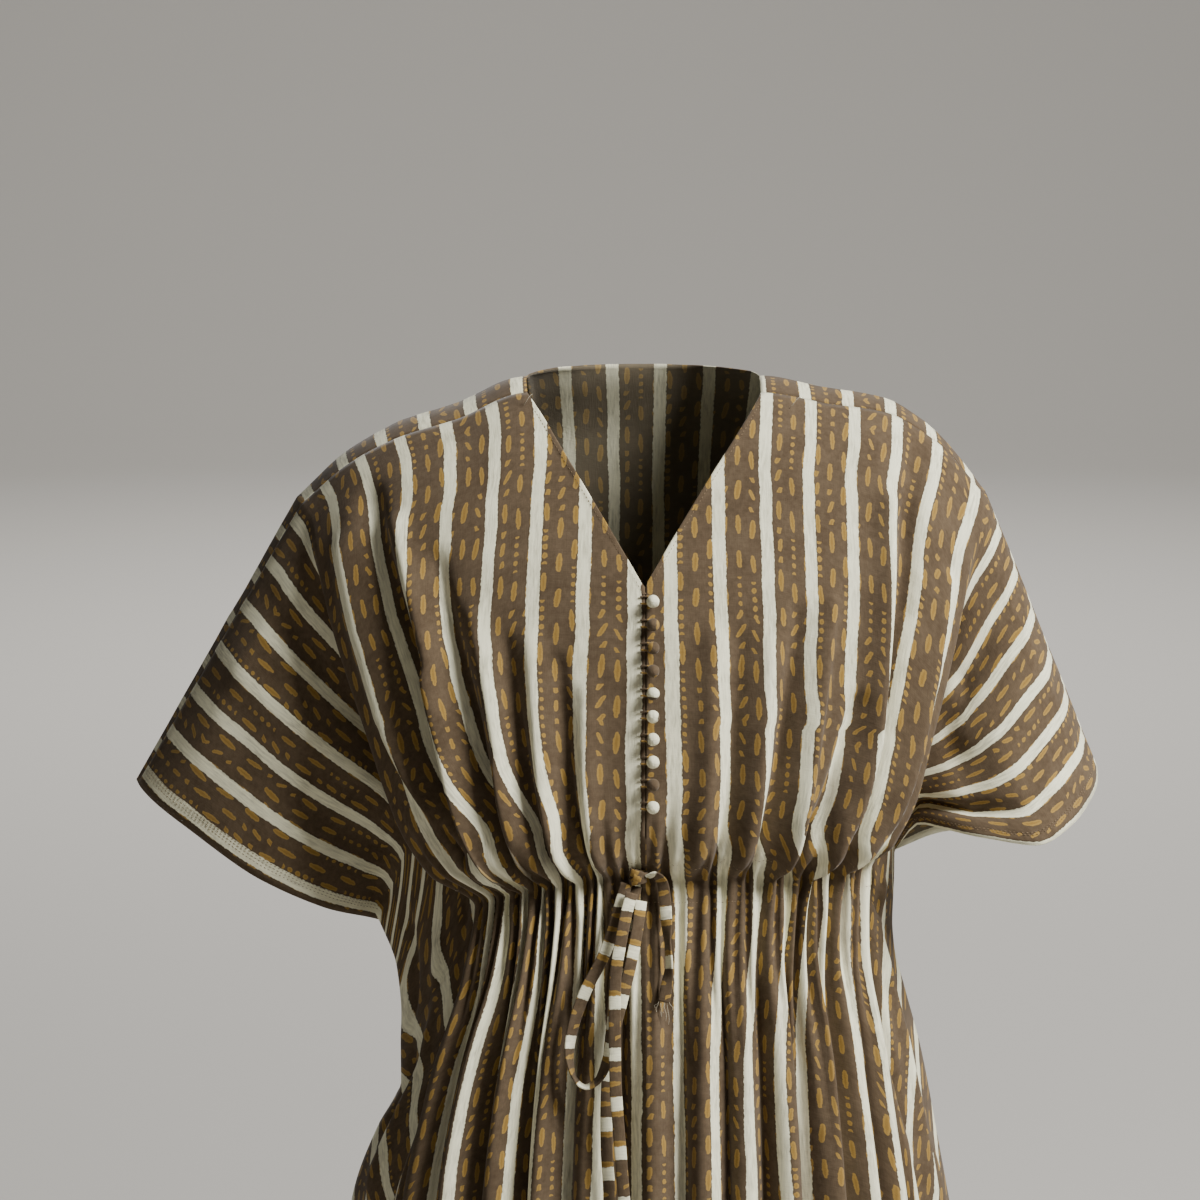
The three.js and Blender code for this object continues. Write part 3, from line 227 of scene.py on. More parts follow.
sleeveHem = {
    "front": {
        "left": table(
            "t x y z", (0, -397, 0, -318), (0.03, -392, -12, -322), (0.08, -380, -24, -331),
            (0.15, -356, -36, -347), (0.3, -296, -52, -386), (0.45, -250, -46, -408),
            (0.6, -207, -14, -423)),
        "right": table(
            "t x y z", (0, 356, -8, -306), (0.03, 355, -20, -310), (0.06, 353, -32, -315),
            (0.12, 346, -50, -323), (0.25, 326, -84, -337), (0.36, 298, -104, -347),
            (0.48, 256, -94, -343), (0.55, 216, -60, -340), (0.6, 196, -36, -366)),
    },
    "back": {
        "left": table(
            "t x y z", (0, -397, 0, -318), (0.03, -393, 12, -322), (0.08, -383, 24, -331),
            (0.15, -362, 38, -346), (0.3, -304, 58, -384), (0.45, -254, 52, -408),
            (0.6, -207, -14, -423)),
        "right": table(
            "t x y z", (0, 356, -8, -306), (0.03, 355, 3, -310), (0.08, 350, 20, -318),
            (0.15, 340, 38, -330), (0.3, 300, 54, -352), (0.45, 246, 40, -368),
            (0.6, 196, -36, -366)),
    },
}
sideSeam = {
    "left": table(
        "t x y z", (0.6, -207, -14, -423), (0.75, -193, -12, -455), (0.9, -190, -9, -483),
        (1, -191, -6, -508), (1.1, -191, -4, -540), (1.2, -210, -2, -584), (1.33, -230, 0, -646),
        (1.5, -246, 0, -748), (2, -302, 0, -1110)),
    "right": table(
        "t x y z", (0.6, 196, -36, -366), (0.75, 197, -22, -397), (0.9, 197, -12, -426),
        (1, 199, -8, -450), (1.1, 209, -5, -488), (1.2, 222, -3, -536), (1.33, 239, 0, -622),
        (1.5, 262, 0, -741), (2, 338, 0, -1110)),
}
# how wide each panel's half was cut at its outer edge: sleeve, then the curved side
cutWidth = table("t u", (0, 543), (0.58, 543), (0.68, 462), (0.76, 405), (0.84, 384), (0.94, 387),
                 (1.05, 408), (1.15, 438), (1.3, 484), (1.5, 528), (2, 543))

# folds from one place on a panel to another, high at each end (a trough is negative), half as wide as
# "wide", and leaning outward by "lean" of their height
foldColumns = "s t high toS toT toHigh wide lean"
folds = {
    ("front", "left"): table(
        foldColumns,
        (0.79, 0.12, -6, 0.75, 0.4, -16, 13, 0.3), (0.75, 0.4, -16, 0.79, 0.9, -18, 13, 0.5),
        (0.71, 0.2, 5, 0.66, 0.5, 12, 10, 0.3), (0.66, 0.5, 12, 0.64, 1, 12, 9, 0.8),
        (0.9, 0.2, 4, 0.88, 0.6, 9, 12, 0.6), (0.88, 0.6, 9, 0.74, 1, 12, 9, 0.8),
        (0.6, 0.3, -5, 0.57, 0.6, -12, 9, 0.3), (0.57, 0.6, -12, 0.57, 1, -14, 8, 0.5),
        (0.5, 0.42, 4, 0.47, 0.7, 9, 9, 0.6), (0.47, 0.7, 9, 0.49, 1, 12, 8, 0.8),
        (0.42, 0.5, -4, 0.4, 1, -12, 8, 0.4), (0.33, 0.5, 3, 0.33, 1, 11, 9, 0.8),
        (0.26, 0.55, -3, 0.26, 1, -12, 8, 0.4), (0.17, 0.6, 3, 0.19, 1, 9, 9, 0.7),
        (0.06, 0.8, -1, 0.05, 1, -9, 9, 0.2),
        (1.28, 0.02, -3, 1.33, 0.5, -9, 14, 0.3), (1.5, 0.05, 3, 1.5, 0.5, 6, 18, 0),
        (1.72, 0.2, -2, 1.7, 0.55, -5, 16, 0), (1.2, 0.5, -3, 1.95, 0.58, -8, 14, 0),
        (1.25, 0.95, -5, 1.6, 1.35, -7, 14, 0), (1.55, 0.9, 5, 1.75, 1.3, 8, 14, 0.3),
        (1.8, 0.72, -4, 1.9, 1.2, -7, 12, 0), (1.35, 1.3, 6, 1.45, 2, 13, 19, 0.4),
        (1.6, 1.35, -6, 1.66, 2, -14, 17, 0.3), (1.84, 1.4, 5, 1.86, 2, 11, 15, 0.3)),
    ("front", "right"): table(
        foldColumns,
        (0.76, 0.05, -5, 0.8, 0.4, -12, 9, 0.2), (0.8, 0.4, -12, 0.8, 0.66, -14, 8, 0.4),
        (0.7, 0.2, 5, 0.73, 0.66, 12, 9, 0.7), (0.73, 0.66, 12, 0.66, 1, 14, 8, 0.9),
        (0.93, 0.3, 4, 0.9, 0.7, 11, 9, 0.8), (0.9, 0.7, 10, 0.84, 1, 12, 8, 0.9),
        (0.8, 0.7, -10, 0.75, 1, -14, 8, 0.4), (0.68, 0.62, -6, 0.58, 1, -12, 8, 0.4),
        (0.54, 0.42, 4, 0.5, 1, 12, 9, 0.8), (0.45, 0.45, -4, 0.42, 1, -12, 8, 0.4),
        (0.36, 0.5, 3, 0.35, 1, 9, 9, 0.6), (0.27, 0.5, -3, 0.28, 1, -9, 8, 0.3),
        (0.19, 0.5, 3, 0.19, 1, 8, 9, 0.4), (0.08, 0.82, -1, 0.08, 1, -7, 9, 0.2),
        (1.28, 0.04, -3, 1.3, 0.36, -9, 13, 0.3), (1.55, 0.1, 2, 1.5, 0.4, 5, 18, 0),
        (1.86, 0.26, -3, 1.84, 0.55, -12, 11, 0),
        (1.3, 0.9, -5, 1.5, 1.3, -9, 13, 0.3), (1.6, 0.9, 4, 1.7, 1.35, 8, 14, 0.3),
        (1.35, 1.3, 6, 1.4, 2, 13, 19, 0.4), (1.6, 1.35, -6, 1.62, 2, -13, 17, 0.3),
        (1.83, 1.35, 5, 1.86, 2, 11, 16, 0.3)),
    ("back", "left"): table(
        foldColumns,
        (0.86, 0.2, -5, 0.78, 0.92, -15, 11, 0.4), (0.72, 0.3, 4, 0.68, 1, 12, 10, 0.7),
        (0.58, 0.4, -4, 0.58, 1, -12, 9, 0.4), (0.46, 0.45, 3, 0.47, 1, 11, 10, 0.7),
        (0.35, 0.5, -3, 0.36, 1, -11, 9, 0.4), (0.24, 0.55, 3, 0.25, 1, 9, 10, 0.5),
        (0.12, 0.6, -3, 0.13, 1, -9, 10, 0.2),
        (1.4, 0.05, -3, 1.38, 0.5, -8, 16, 0), (1.25, 0.95, -6, 1.5, 1.35, -9, 13, 0.3),
        (1.35, 1.3, 6, 1.4, 2, 12, 19, 0.3), (1.62, 1.35, -6, 1.66, 2, -13, 17, 0.3)),
    ("back", "right"): table(
        foldColumns,
        (0.88, 0.22, -5, 0.8, 0.92, -15, 11, 0.4), (0.74, 0.3, 4, 0.7, 1, 12, 10, 0.7),
        (0.6, 0.4, -4, 0.6, 1, -12, 9, 0.4), (0.48, 0.45, 3, 0.49, 1, 11, 10, 0.7),
        (0.37, 0.5, -3, 0.37, 1, -11, 9, 0.4), (0.26, 0.55, 3, 0.26, 1, 9, 10, 0.5),
        (0.14, 0.6, -3, 0.14, 1, -9, 10, 0.2),
        (1.4, 0.05, -3, 1.4, 0.5, -8, 16, 0), (1.28, 0.9, -5, 1.5, 1.35, -9, 13, 0.3),
        (1.38, 1.3, 6, 1.42, 2, 12, 19, 0.3), (1.66, 1.35, -6, 1.68, 2, -13, 17, 0.3)),
}
# skirt flutes: the place of each ridge across a panel, from the wearer's right edge (-1) to the left (1)
fluteColumns = "s high lean"
flutes = {
    "front": table(
        fluteColumns,
        (-1, 8, 0), (-0.79, 14, -0.5), (-0.6, 12, -0.4), (-0.41, 13, -0.55), (-0.23, 10, -0.3),
        (0.02, 12, -0.3), (0.22, 11, -0.45), (0.37, 8, -0.2), (0.53, 13, 0.4), (0.71, 12, 0.5),
        (0.87, 10, 0.4), (1, 7, 0)),
    "back": table(
        fluteColumns,
        (-1, 8, 0), (-0.81, 13, -0.4), (-0.63, 11, -0.5), (-0.42, 13, -0.4), (-0.22, 11, -0.3),
        (0, 12, 0.2), (0.2, 10, 0.4), (0.39, 13, 0.4), (0.58, 11, 0.5), (0.8, 13, 0.4), (1, 8, 0)),
}
fluteGrowth = table("t share", (1, 0), (1.06, 0.12), (1.16, 0.6), (1.3, 0.85), (1.6, 1), (2, 1.25))
flute = {"crowd": 0.45, "sway": 0.022}      # how much wider ridges are than troughs, and their wander
casingDip = {"left": 24, "right": 0, "reach": 0.3}
foldSpan = {"across": 280, "down": 400}     # millimetres that one unit of s and of t stand for
gathers = {"perHalf": 18, "height": 2.7, "crowdAt": {"left": 0.5, "right": 0.78}, "crowdReach": 0.28,
          "crowdHeight": 2.8, "reachUp": 0.12, "reachDown": 0.2, "nip": 0.8, "nipReach": 0.05}


# where the cloth lies, for arrays of s and t
def clamp(value, low, high):
    return np.minimum(np.maximum(value, low), high)


def mix(a, b, share):
    return a + (b - a) * share


def ease(share):
    q = clamp(share, 0, 1)
    return q * q * (3 - 2 * q)


def along(rows, column, at):
    # one column of a table at t: smooth, through every row, with no overshoot between rows
    t, value = rows["t"], rows[column]
    rise = np.diff(value) / np.diff(t)
    slope = np.zeros(len(t))
    slope[0], slope[-1] = rise[0], rise[-1]
    before, after = rise[:-1], rise[1:]
    same = before * after > 0
    slope[1:-1] = np.where(same, 2 * before * after / np.where(same, before + after, 1), 0)
    at = clamp(np.asarray(at, float), t[0], t[-1])
    k = np.minimum(np.searchsorted(t, at, side="right") - 1, len(t) - 2)
    width = t[k + 1] - t[k]
    q = (at - t[k]) / width
    return (value[k] * (1 + 2 * q) * (1 - q) ** 2 + value[k + 1] * q * q * (3 - 2 * q)
            + slope[k] * width * q * (1 - q) ** 2 - slope[k + 1] * width * q * q * (1 - q))


def facing(panel):
    return 1 if panel == "back" else -1


def sideSign(side):
    return -1 if side == "left" else 1


neckShare = size["neckHalfWidth"] / size["shoulderFlat"]


def frontTop(s):
    # where a column of the front starts: the forward shoulder seam, or the edge of the V
    seam = mix(0.028, 0.012, clamp(s - 1, 0, 1))
    return np.where(s >= neckShare, seam, mix(size["vDepth"] / -size["waistZ"], seam, s / neckShare))


def bodyPoint(panel, side, s, t):
    edge = {name: along(hangingEdge[panel][side], name, t) for name in "xyz"}
    top = shoulderLine[side]
    topX = along(top, "x", s) / along(top, "x", 1)
    spread = mix(s * (1 + size["waistSpread"] * (1 - s)), s, clamp((t - 1) / 0.7, 0, 1))
    x = edge["x"] * mix(topX, spread, ease(t))
    waist, hem = size["waistZ"], size["hemZ"]
    topZ = along(top, "z", s)
    endZ = along(top, "z", 1)
    below = mix(waist, hem, t - 1)
    z = np.where(t < 1, mix(topZ, waist, t), below)
    z = z + s ** 4 * (edge["z"] - np.where(t < 1, mix(endZ, waist, t), below))
    depth = along(bodyDepth[panel], "y", -z)
    drop = clamp((topZ - z) / size["shoulderRound"], 0, 1)
    roundOff = np.sqrt(1 - (1 - drop) ** 2)
    neck = np.sqrt(clamp(1 - (s / neckShare) ** 2, 0, 1)) if panel == "back" else 0 * s
    start = neck * size["backNeckDepth"]
    y = facing(panel) * (start + (depth - start) * roundOff)
    rise = neck * size["backNeckRise"] * (1 - roundOff)
    return np.stack([x, mix(y, edge["y"], s ** 2.6), z + rise], -1)


def sleevePoint(panel, side, s, t):
    edge = {name: along(hangingEdge[panel][side], name, t) for name in ("x", "y", "z", "tuck", "under")}
    hem, seam = sleeveHem[panel][side], sideSeam[side]
    onSleeve = t < size["underarm"]
    outer = {name: np.where(onSleeve, along(hem, name, t), along(seam, name, t)) for name in "xyz"}
    across, end = s - 1, size["foldEnd"]
    turned = clamp(across / (end - 1), 0, 1)
    behind = np.where(s < end, ease(turned), (2 - s) / (2 - end))
    bow = mix(size["sideBow"], size["sleeveBow"], ease((size["underarm"] - t) / size["sleeveOpensBy"]))
    depthBehind = np.where(s < end, np.sqrt(turned), behind + bow * behind * (1 - behind))
    puff = size["sleevePuff"] * np.sin(np.pi * across) * clamp(t / 0.1, 0, 1)
    puff = puff * np.where(t < 1, 1, size["puffBelow"])
    return np.stack([
        mix(edge["x"], outer["x"], across) - sideSign(side) * edge["tuck"] * behind,
        mix(edge["y"], outer["y"], across) - facing(panel) * (edge["under"] * depthBehind - puff),
        mix(edge["z"], outer["z"], across),
    ], -1)


def smoothPoint(panel, side, s, t):
    s, t = np.broadcast_arrays(np.asarray(s, float), np.asarray(t, float))
    body = bodyPoint(panel, side, clamp(s, 0, 1), t)
    sleeve = sleevePoint(panel, side, clamp(s, 1, 2), t)
    point = np.where((s <= 1)[..., None], body, sleeve)
    dip = casingDip[side] * clamp(s, 0, 1) ** 2 * np.exp(-((t - 1) / casingDip["reach"]) ** 2)
    return point - np.stack([0 * dip, 0 * dip, dip], -1)


def ridges(rows, s, t):
    # how high the folds of a table stand, and how far they lean outward; a fold that starts where the
    # row above it ends carries on from it
    high, lean = np.zeros(np.shape(s)), np.zeros(np.shape(s))
    for k in range(len(rows["s"])):
        fold = {name: rows[name][k] for name in rows}
        dirS = (fold["toS"] - fold["s"]) * foldSpan["across"]
        dirT = (fold["toT"] - fold["t"]) * foldSpan["down"]
        length = math.hypot(dirS, dirT)
        atS, atT = (s - fold["s"]) * foldSpan["across"], (t - fold["t"]) * foldSpan["down"]
        share = (atS * dirS + atT * dirT) / length ** 2
        off = np.abs(atS * dirT - atT * dirS) / length
        past = np.maximum(np.maximum(-share, share - 1), 0) * length
        spread = np.hypot(off, past) / fold["wide"]
        own = mix(fold["high"], fold["toHigh"], clamp(share, 0, 1)) * np.exp(-spread ** 2)
        carriesOn = k and fold["s"] == rows["toS"][k - 1] and fold["t"] == rows["toT"][k - 1]
        added = np.where(np.abs(own) > np.abs(before), own - before, 0) if carriesOn else own
        high += added
        lean += added * fold["lean"]
        before = own
    nip = 1 - gathers["nip"] * np.exp(-((t - 1) / gathers["nipReach"]) ** 2)
    return high * nip, lean * nip


def fluteWave(panel, side, s, t):
    # height and outward lean of the skirt's flutes, in millimetres, and how far their cloth crowds, in s
    rows = flutes[panel]
    signed = s * sideSign(side)
    signed = signed + flute["sway"] * np.sin(4.1 * t + 3 * signed) * clamp(t - 1, 0, 1) * 2
    number = np.arange(len(rows["s"]))
    turn = np.interp(signed, rows["s"], number)
    pitch = np.interp(turn, number, np.gradient(rows["s"]))
    grown = np.where(t > 1, along(fluteGrowth, "share", t), 0)
    high = np.interp(turn, number, rows["high"]) * grown * np.cos(2 * np.pi * turn)
    lean = np.interp(turn, number, rows["lean"]) * high * sideSign(side)
    crowd = flute["crowd"] * pitch * clamp(grown, 0, 1) * np.sin(2 * np.pi * turn) / (2 * np.pi)
    return high, lean * ease(s / 0.08), crowd * ease(s / 0.08) * sideSign(side)


def foldShape(panel, side, s, t):
    s, t = np.broadcast_arrays(np.asarray(s, float), np.asarray(t, float))
    reach = np.where(t < 1, gathers["reachUp"], gathers["reachDown"])
    # slow waves bring some gathers closer together and make some higher
    uneven = s + 0.008 * np.sin(19 * s + 2 * (side == "left")) + 0.004 * np.sin(47 * s)
    wave = np.cos(2 * np.pi * gathers["perHalf"] * uneven) * (1 + 0.25 * np.sin(31 * s))
    crowded = np.exp(-((s - gathers["crowdAt"][side]) / gathers["crowdReach"]) ** 2)
    high = (gathers["height"] + gathers["crowdHeight"] * crowded) * wave
    high = high * np.exp(-((t - 1) / reach) ** 2) * clamp(s / 0.04, 0, 1) * (s <= 1)
    foldHigh, foldLean = ridges(folds[panel, side], s, t)
    fluteHigh, fluteLean, crowd = fluteWave(panel, side, s, t)
    free = ease((2 - s) / 0.12 + (t > 1.3)) * ease(t / 0.12)
    inFold = np.where((s > 0.97) & (s < 1.2), ease(np.abs(s - 1.085) / 0.115), 1)
    onBody = 1 - ease((s - 0.97) / 0.1)
    high = (high + foldHigh + fluteHigh * onBody) * free * inFold
    lean = (foldLean * ease(s / 0.06) + fluteLean * onBody) * free * inFold
    return high, lean, crowd * onBody * free * inFold


def clothFrame(panel, side, s, t):
    # the smooth cloth's normal, pointing out of the garment, and its run outward for one unit of s
    step = 0.004
    lowS, highS = clamp(s - step, 0, 2), clamp(s + step, 0, 2)
    lowT, highT = clamp(t - step, 0, 2), clamp(t + step, 0, 2)
    alongS = smoothPoint(panel, side, highS, t) - smoothPoint(panel, side, lowS, t)
    alongT = smoothPoint(panel, side, s, highT) - smoothPoint(panel, side, s, lowT)
    normal = np.cross(alongT, alongS) * (sideSign(side) * -facing(panel))
    normal /= np.linalg.norm(normal, axis=-1, keepdims=True)
    return normal, alongS / (highS - lowS)[..., None]


def clothPoint(panel, side, s, t):
    s, t = np.broadcast_arrays(np.asarray(s, float), np.asarray(t, float))
    high, lean, crowd = (part[..., None] for part in foldShape(panel, side, s, t))
    normal, run = clothFrame(panel, side, s, t)
    outward = lean / np.linalg.norm(run, axis=-1, keepdims=True) + crowd
    return smoothPoint(panel, side, s, t) + normal * high + run * outward


def frontAt(x, z, point=clothPoint):
    # the front's own point straight behind a place given by x and z
    side = "left" if x < 0 else "right"
    s, t = 0.1, float(clamp(z / size["waistZ"], 0.42, 1.9))
    for _ in range(30):
        here = bodyPoint("front", side, np.float64(s), np.float64(t))
        alongS = (bodyPoint("front", side, np.float64(s + 0.01), np.float64(t))[0] - here[0]) / 0.01
        alongT = (bodyPoint("front", side, np.float64(s), np.float64(t + 0.01))[2] - here[2]) / 0.01
        s = float(clamp(s + (x - here[0]) / alongS, 0, 1))
        t = float(clamp(t + (z - here[2]) / alongT, 0.3, 2))
    return point("front", side, s, t)


takenGrid = {"columns": 400, "rows": 100}    # how finely the cloth that folds take up is measured


def takenUp(panel, side):
    # how much more cloth lies across a panel than its smooth form has, as a running share of each part
    columns, rows = takenGrid["columns"], takenGrid["rows"]
    s, t = np.meshgrid(np.linspace(0, 2, columns + 1), np.linspace(0, 2, rows + 1))
    folded = np.linalg.norm(np.diff(clothPoint(panel, side, s, t), axis=1), axis=-1)
    smooth = np.linalg.norm(np.diff(smoothPoint(panel, side, s, t), axis=1), axis=-1)
    body = np.cumsum((folded / smooth)[:, :columns // 2], 1)
    sleeve = np.cumsum((folded / smooth)[:, columns // 2:], 1)
    none = np.zeros((len(t), 1))
    return np.concatenate([none, body / body[:, -1:], 1 + sleeve / sleeve[:, -1:]], 1)


def flatPlace(panel, side, s, t):
    # the same place on the flat cut, in millimetres: across from the centre, and down from the shoulder line
    taken = takenUp(panel, side)
    columns, rows = takenGrid["columns"], takenGrid["rows"]
    row, column = clamp(t / 2 * rows, 0, rows - 0.001), clamp(s / 2 * columns, 0, columns - 0.001)
    top, first = row.astype(int), column.astype(int)
    upper = mix(taken[top, first], taken[top, first + 1], column - first)
    lower = mix(taken[top + 1, first], taken[top + 1, first + 1], column - first)
    even = mix(upper, lower, row - top)
    outer = along(cutWidth, "u", t)
    across = np.where(s <= 1, even * size["shoulderFlat"], mix(size["shoulderFlat"], outer, even - 1))
    steps = np.linspace(0, 2, 241)
    down = np.zeros(s.shape)
    for column in range(s.shape[1]):
        line = smoothPoint(panel, side, s[0, column], steps)
        length = np.concatenate([[0], np.cumsum(np.linalg.norm(np.diff(line, axis=0), axis=1))])
        down[:, column] = np.interp(t[:, column], steps, length)
    return across * sideSign(side), down


# the two panels, each a thin shell with thicker turned-in edges
cloth = {
    "thickness": 1.4,               # of a full hem; a single layer is a share of it
    "layer": 0.45, "hemLayer": 0.95,
    "bodyColumns": 104, "foldColumns": 9, "sleeveColumns": 32, "rows": 154, "overShoulder": 6,
    "sleeveHem": 13, "neckHem": 7, "seamHem": 8, "bottomHem": 22,   # turned-in widths
    "slitGap": 0.5, "stripeAt": -7, "slitTuck": 11,     # a stripe's place beside the slit, and its tuck
    "backAcross": 16, "backDown": 310,      # the back was cut elsewhere from the printed length
    "crumple": 0.7, "dent": (34, 60), "smallDent": (15, 24),    # height of dents, their width and length
}


def columnShares():
    body = np.linspace(0, 1, cloth["bodyColumns"] + 1)
    body[np.argmin(np.abs(body - neckShare))] = neckShare
    fold = np.linspace(1, size["foldEnd"], cloth["foldColumns"] + 1)[1:]
    sleeve = np.linspace(size["foldEnd"], 2, cloth["sleeveColumns"] + 1)[1:]
    return np.concatenate([body, fold, sleeve])


def rowShares():
    # rows from 0 to 2, closer together at the casing and the shoulder
    at = np.linspace(0, 2, 2001)
    atCasing, atShoulder = np.exp(-((at - 1) / 0.075) ** 2), np.exp(-(at / 0.08) ** 2)
    density = 0.75 + 2.2 * atCasing + 0.8 * atShoulder - 0.3 * (at > 1.3)
    total = np.cumsum(density)
    shares = np.interp(np.linspace(total[0], total[-1], cloth["rows"]), total, at)
    shares[0], shares[-1] = 0, 2
    return shares


def crumpleAt(points, seed):
    # small uneven dents that soft washed cotton keeps
    wide, long = cloth["dent"]
    smallWide, smallLong = cloth["smallDent"]
    return np.array([noise.noise(Vector((x / wide, y / wide + seed, z / long)))
                     + 0.5 * noise.noise(Vector((x / smallWide, y / smallWide, z / smallLong + seed)))
                     for x, y, z in points])


def panelHalf(panel, side):
    s, shares = np.meshgrid(columnShares(), rowShares())
    if panel == "front":
        t = np.where(shares <= 1, mix(frontTop(s), 1, shares), shares)
    else:
        t = shares
    points, across, down = clothPoint(panel, side, s, t), *flatPlace(panel, side, s, t)
    normals = clothFrame(panel, side, s, t)[0]
    if panel == "front":
        bend = cloth["slitTuck"] * (side == "right") * (1 - ease((t - 0.86) / 0.2))
        fromTop = (t - frontTop(s)) * -size["waistZ"]
    else:
        over = np.linspace(1, 0, cloth["overShoulder"] + 1)[:-1, None] * frontTop(s[:1])
        overS = np.broadcast_to(s[:1], over.shape)
        overAcross, overDown = flatPlace("front", side, overS, over)
        points = np.concatenate([clothPoint("front", side, overS, over), points])
        normals = np.concatenate([clothFrame("front", side, overS, over)[0], normals])
        across = np.concatenate([overAcross, across]) + cloth["backAcross"]
        down = np.concatenate([-overDown, down]) + cloth["backDown"]
        s, t = np.concatenate([overS, s]), np.concatenate([-over, t])
        bend = 0
        fromTop = (t + frontTop(s)) * -size["waistZ"] + 99 * (s < neckShare) * (t < 0)
    grain = crumpleAt(points.reshape(-1, 3), facing(panel) * 5.3).reshape(s.shape)
    quiet = ease((2 - s) / 0.05) * ease(fromTop / 12) * ease(s / 0.02)
    points = points + normals * (grain * quiet * cloth["crumple"])[..., None]
    # turned-in edges are two or three layers thick
    outer = along(cutWidth, "u", np.abs(t))
    fromSleeve = np.where(np.abs(t) < size["underarm"], (2 - s) * (outer - size["shoulderFlat"]), 99)
    isNeck = s < neckShare
    thick = (fromSleeve < cloth["sleeveHem"]) | (isNeck & (fromTop < cloth["neckHem"]))
    thick |= ~isNeck & (np.abs(fromTop) < cloth["seamHem"])
    thick |= (2 - t) * (size["waistZ"] - size["hemZ"]) < cloth["bottomHem"]
    layers = np.where(thick, cloth["hemLayer"], cloth["layer"])
    return points, np.stack([across - cloth["stripeAt"] + bend, down], -1), layers, s, t


def panelPiece(panel, materials):
    left, right = panelHalf(panel, "left"), panelHalf(panel, "right")
    points, flat, layers, s, t = (np.concatenate([a[:, ::-1], b], 1) for a, b in zip(left, right))
    rows, columns = s.shape
    index = np.arange(rows * columns).reshape(rows, columns)
    middle = columns // 2
    if panel == "front":
        isOpen = t[:, middle] < size["slitEnd"]
        gap = np.where(isOpen, cloth["slitGap"] / 2, 0)
        points[:, middle - 1, 0] = size["slitX"] - gap
        points[:, middle, 0] = size["slitX"] + gap
    else:
        isOpen = np.zeros(rows, bool)
        points[:, middle - 1:middle + 1, 0] = 0
    index[~isOpen, middle] = index[~isOpen, middle - 1]
    a, b, c, d = index[:-1, :-1], index[1:, :-1], index[1:, 1:], index[:-1, 1:]
    keep = np.ones(a.shape, bool)
    keep[:, middle - 1] = False     # between the two centre columns there is no cloth
    if panel == "back":
        neck = (s[:-1, :-1] < neckShare + 1e-6) & (s[:-1, 1:] < neckShare + 1e-6)
        keep &= ~(neck & (t[:-1, :-1] < -1e-6))
        b, d = d, b     # the back faces the other way
    faces = np.stack([a, b, c, d], -1)[keep]
    used, inverse = np.unique(faces, return_inverse=True)
    piece = addMesh("cloth_" + panel, points.reshape(-1, 3)[used], inverse.reshape(faces.shape).tolist(),
                    flat.reshape(-1, 2)[used], materials)
    group = piece.vertex_groups.new(name="layers")
    weights = layers.ravel()[used]
    for weight in np.unique(weights):
        group.add(np.flatnonzero(weights == weight).tolist(), float(weight), "REPLACE")
    shell = piece.modifiers.new("thickness", "SOLIDIFY")
    shell.thickness, shell.offset = cloth["thickness"] * mm, 0
    shell.vertex_group, shell.use_quality_normals = "layers", True
    shell.material_offset = 1
    return piece


# Plain-weave cotton, hand block printed: the cloth is matt and slightly slubby, the cream stripes are
# resist-printed with soft uneven edges, and ochre dashes run under them in columns of their own.
printed = {
    "stripePitch": 37.5, "stripeHalf": 5.0, "dashPitch": 11.25, "dashRow": 27.0,
    "blockColumns": 10, "blockRows": 9,
    "brown": "#62523e", "brownDark": "#4c3d2b", "cream": "#f2eece", "creamGrey": "#b0ac92",
    "ochre": "#997a3d", "ochreDark": "#7a5c28", "rim": "#3f3120",
    "roughness": 0.92, "drift": 1.6, "ragged": 1.1, "dashHalfLength": (5.1, 8.3),
    "dashHalfWidth": (2.0, 2.65),
    "pairsFrom": 0.62, "dotsFrom": 0.8,     # a cell's chance number says dash, slanted pair or dots
}


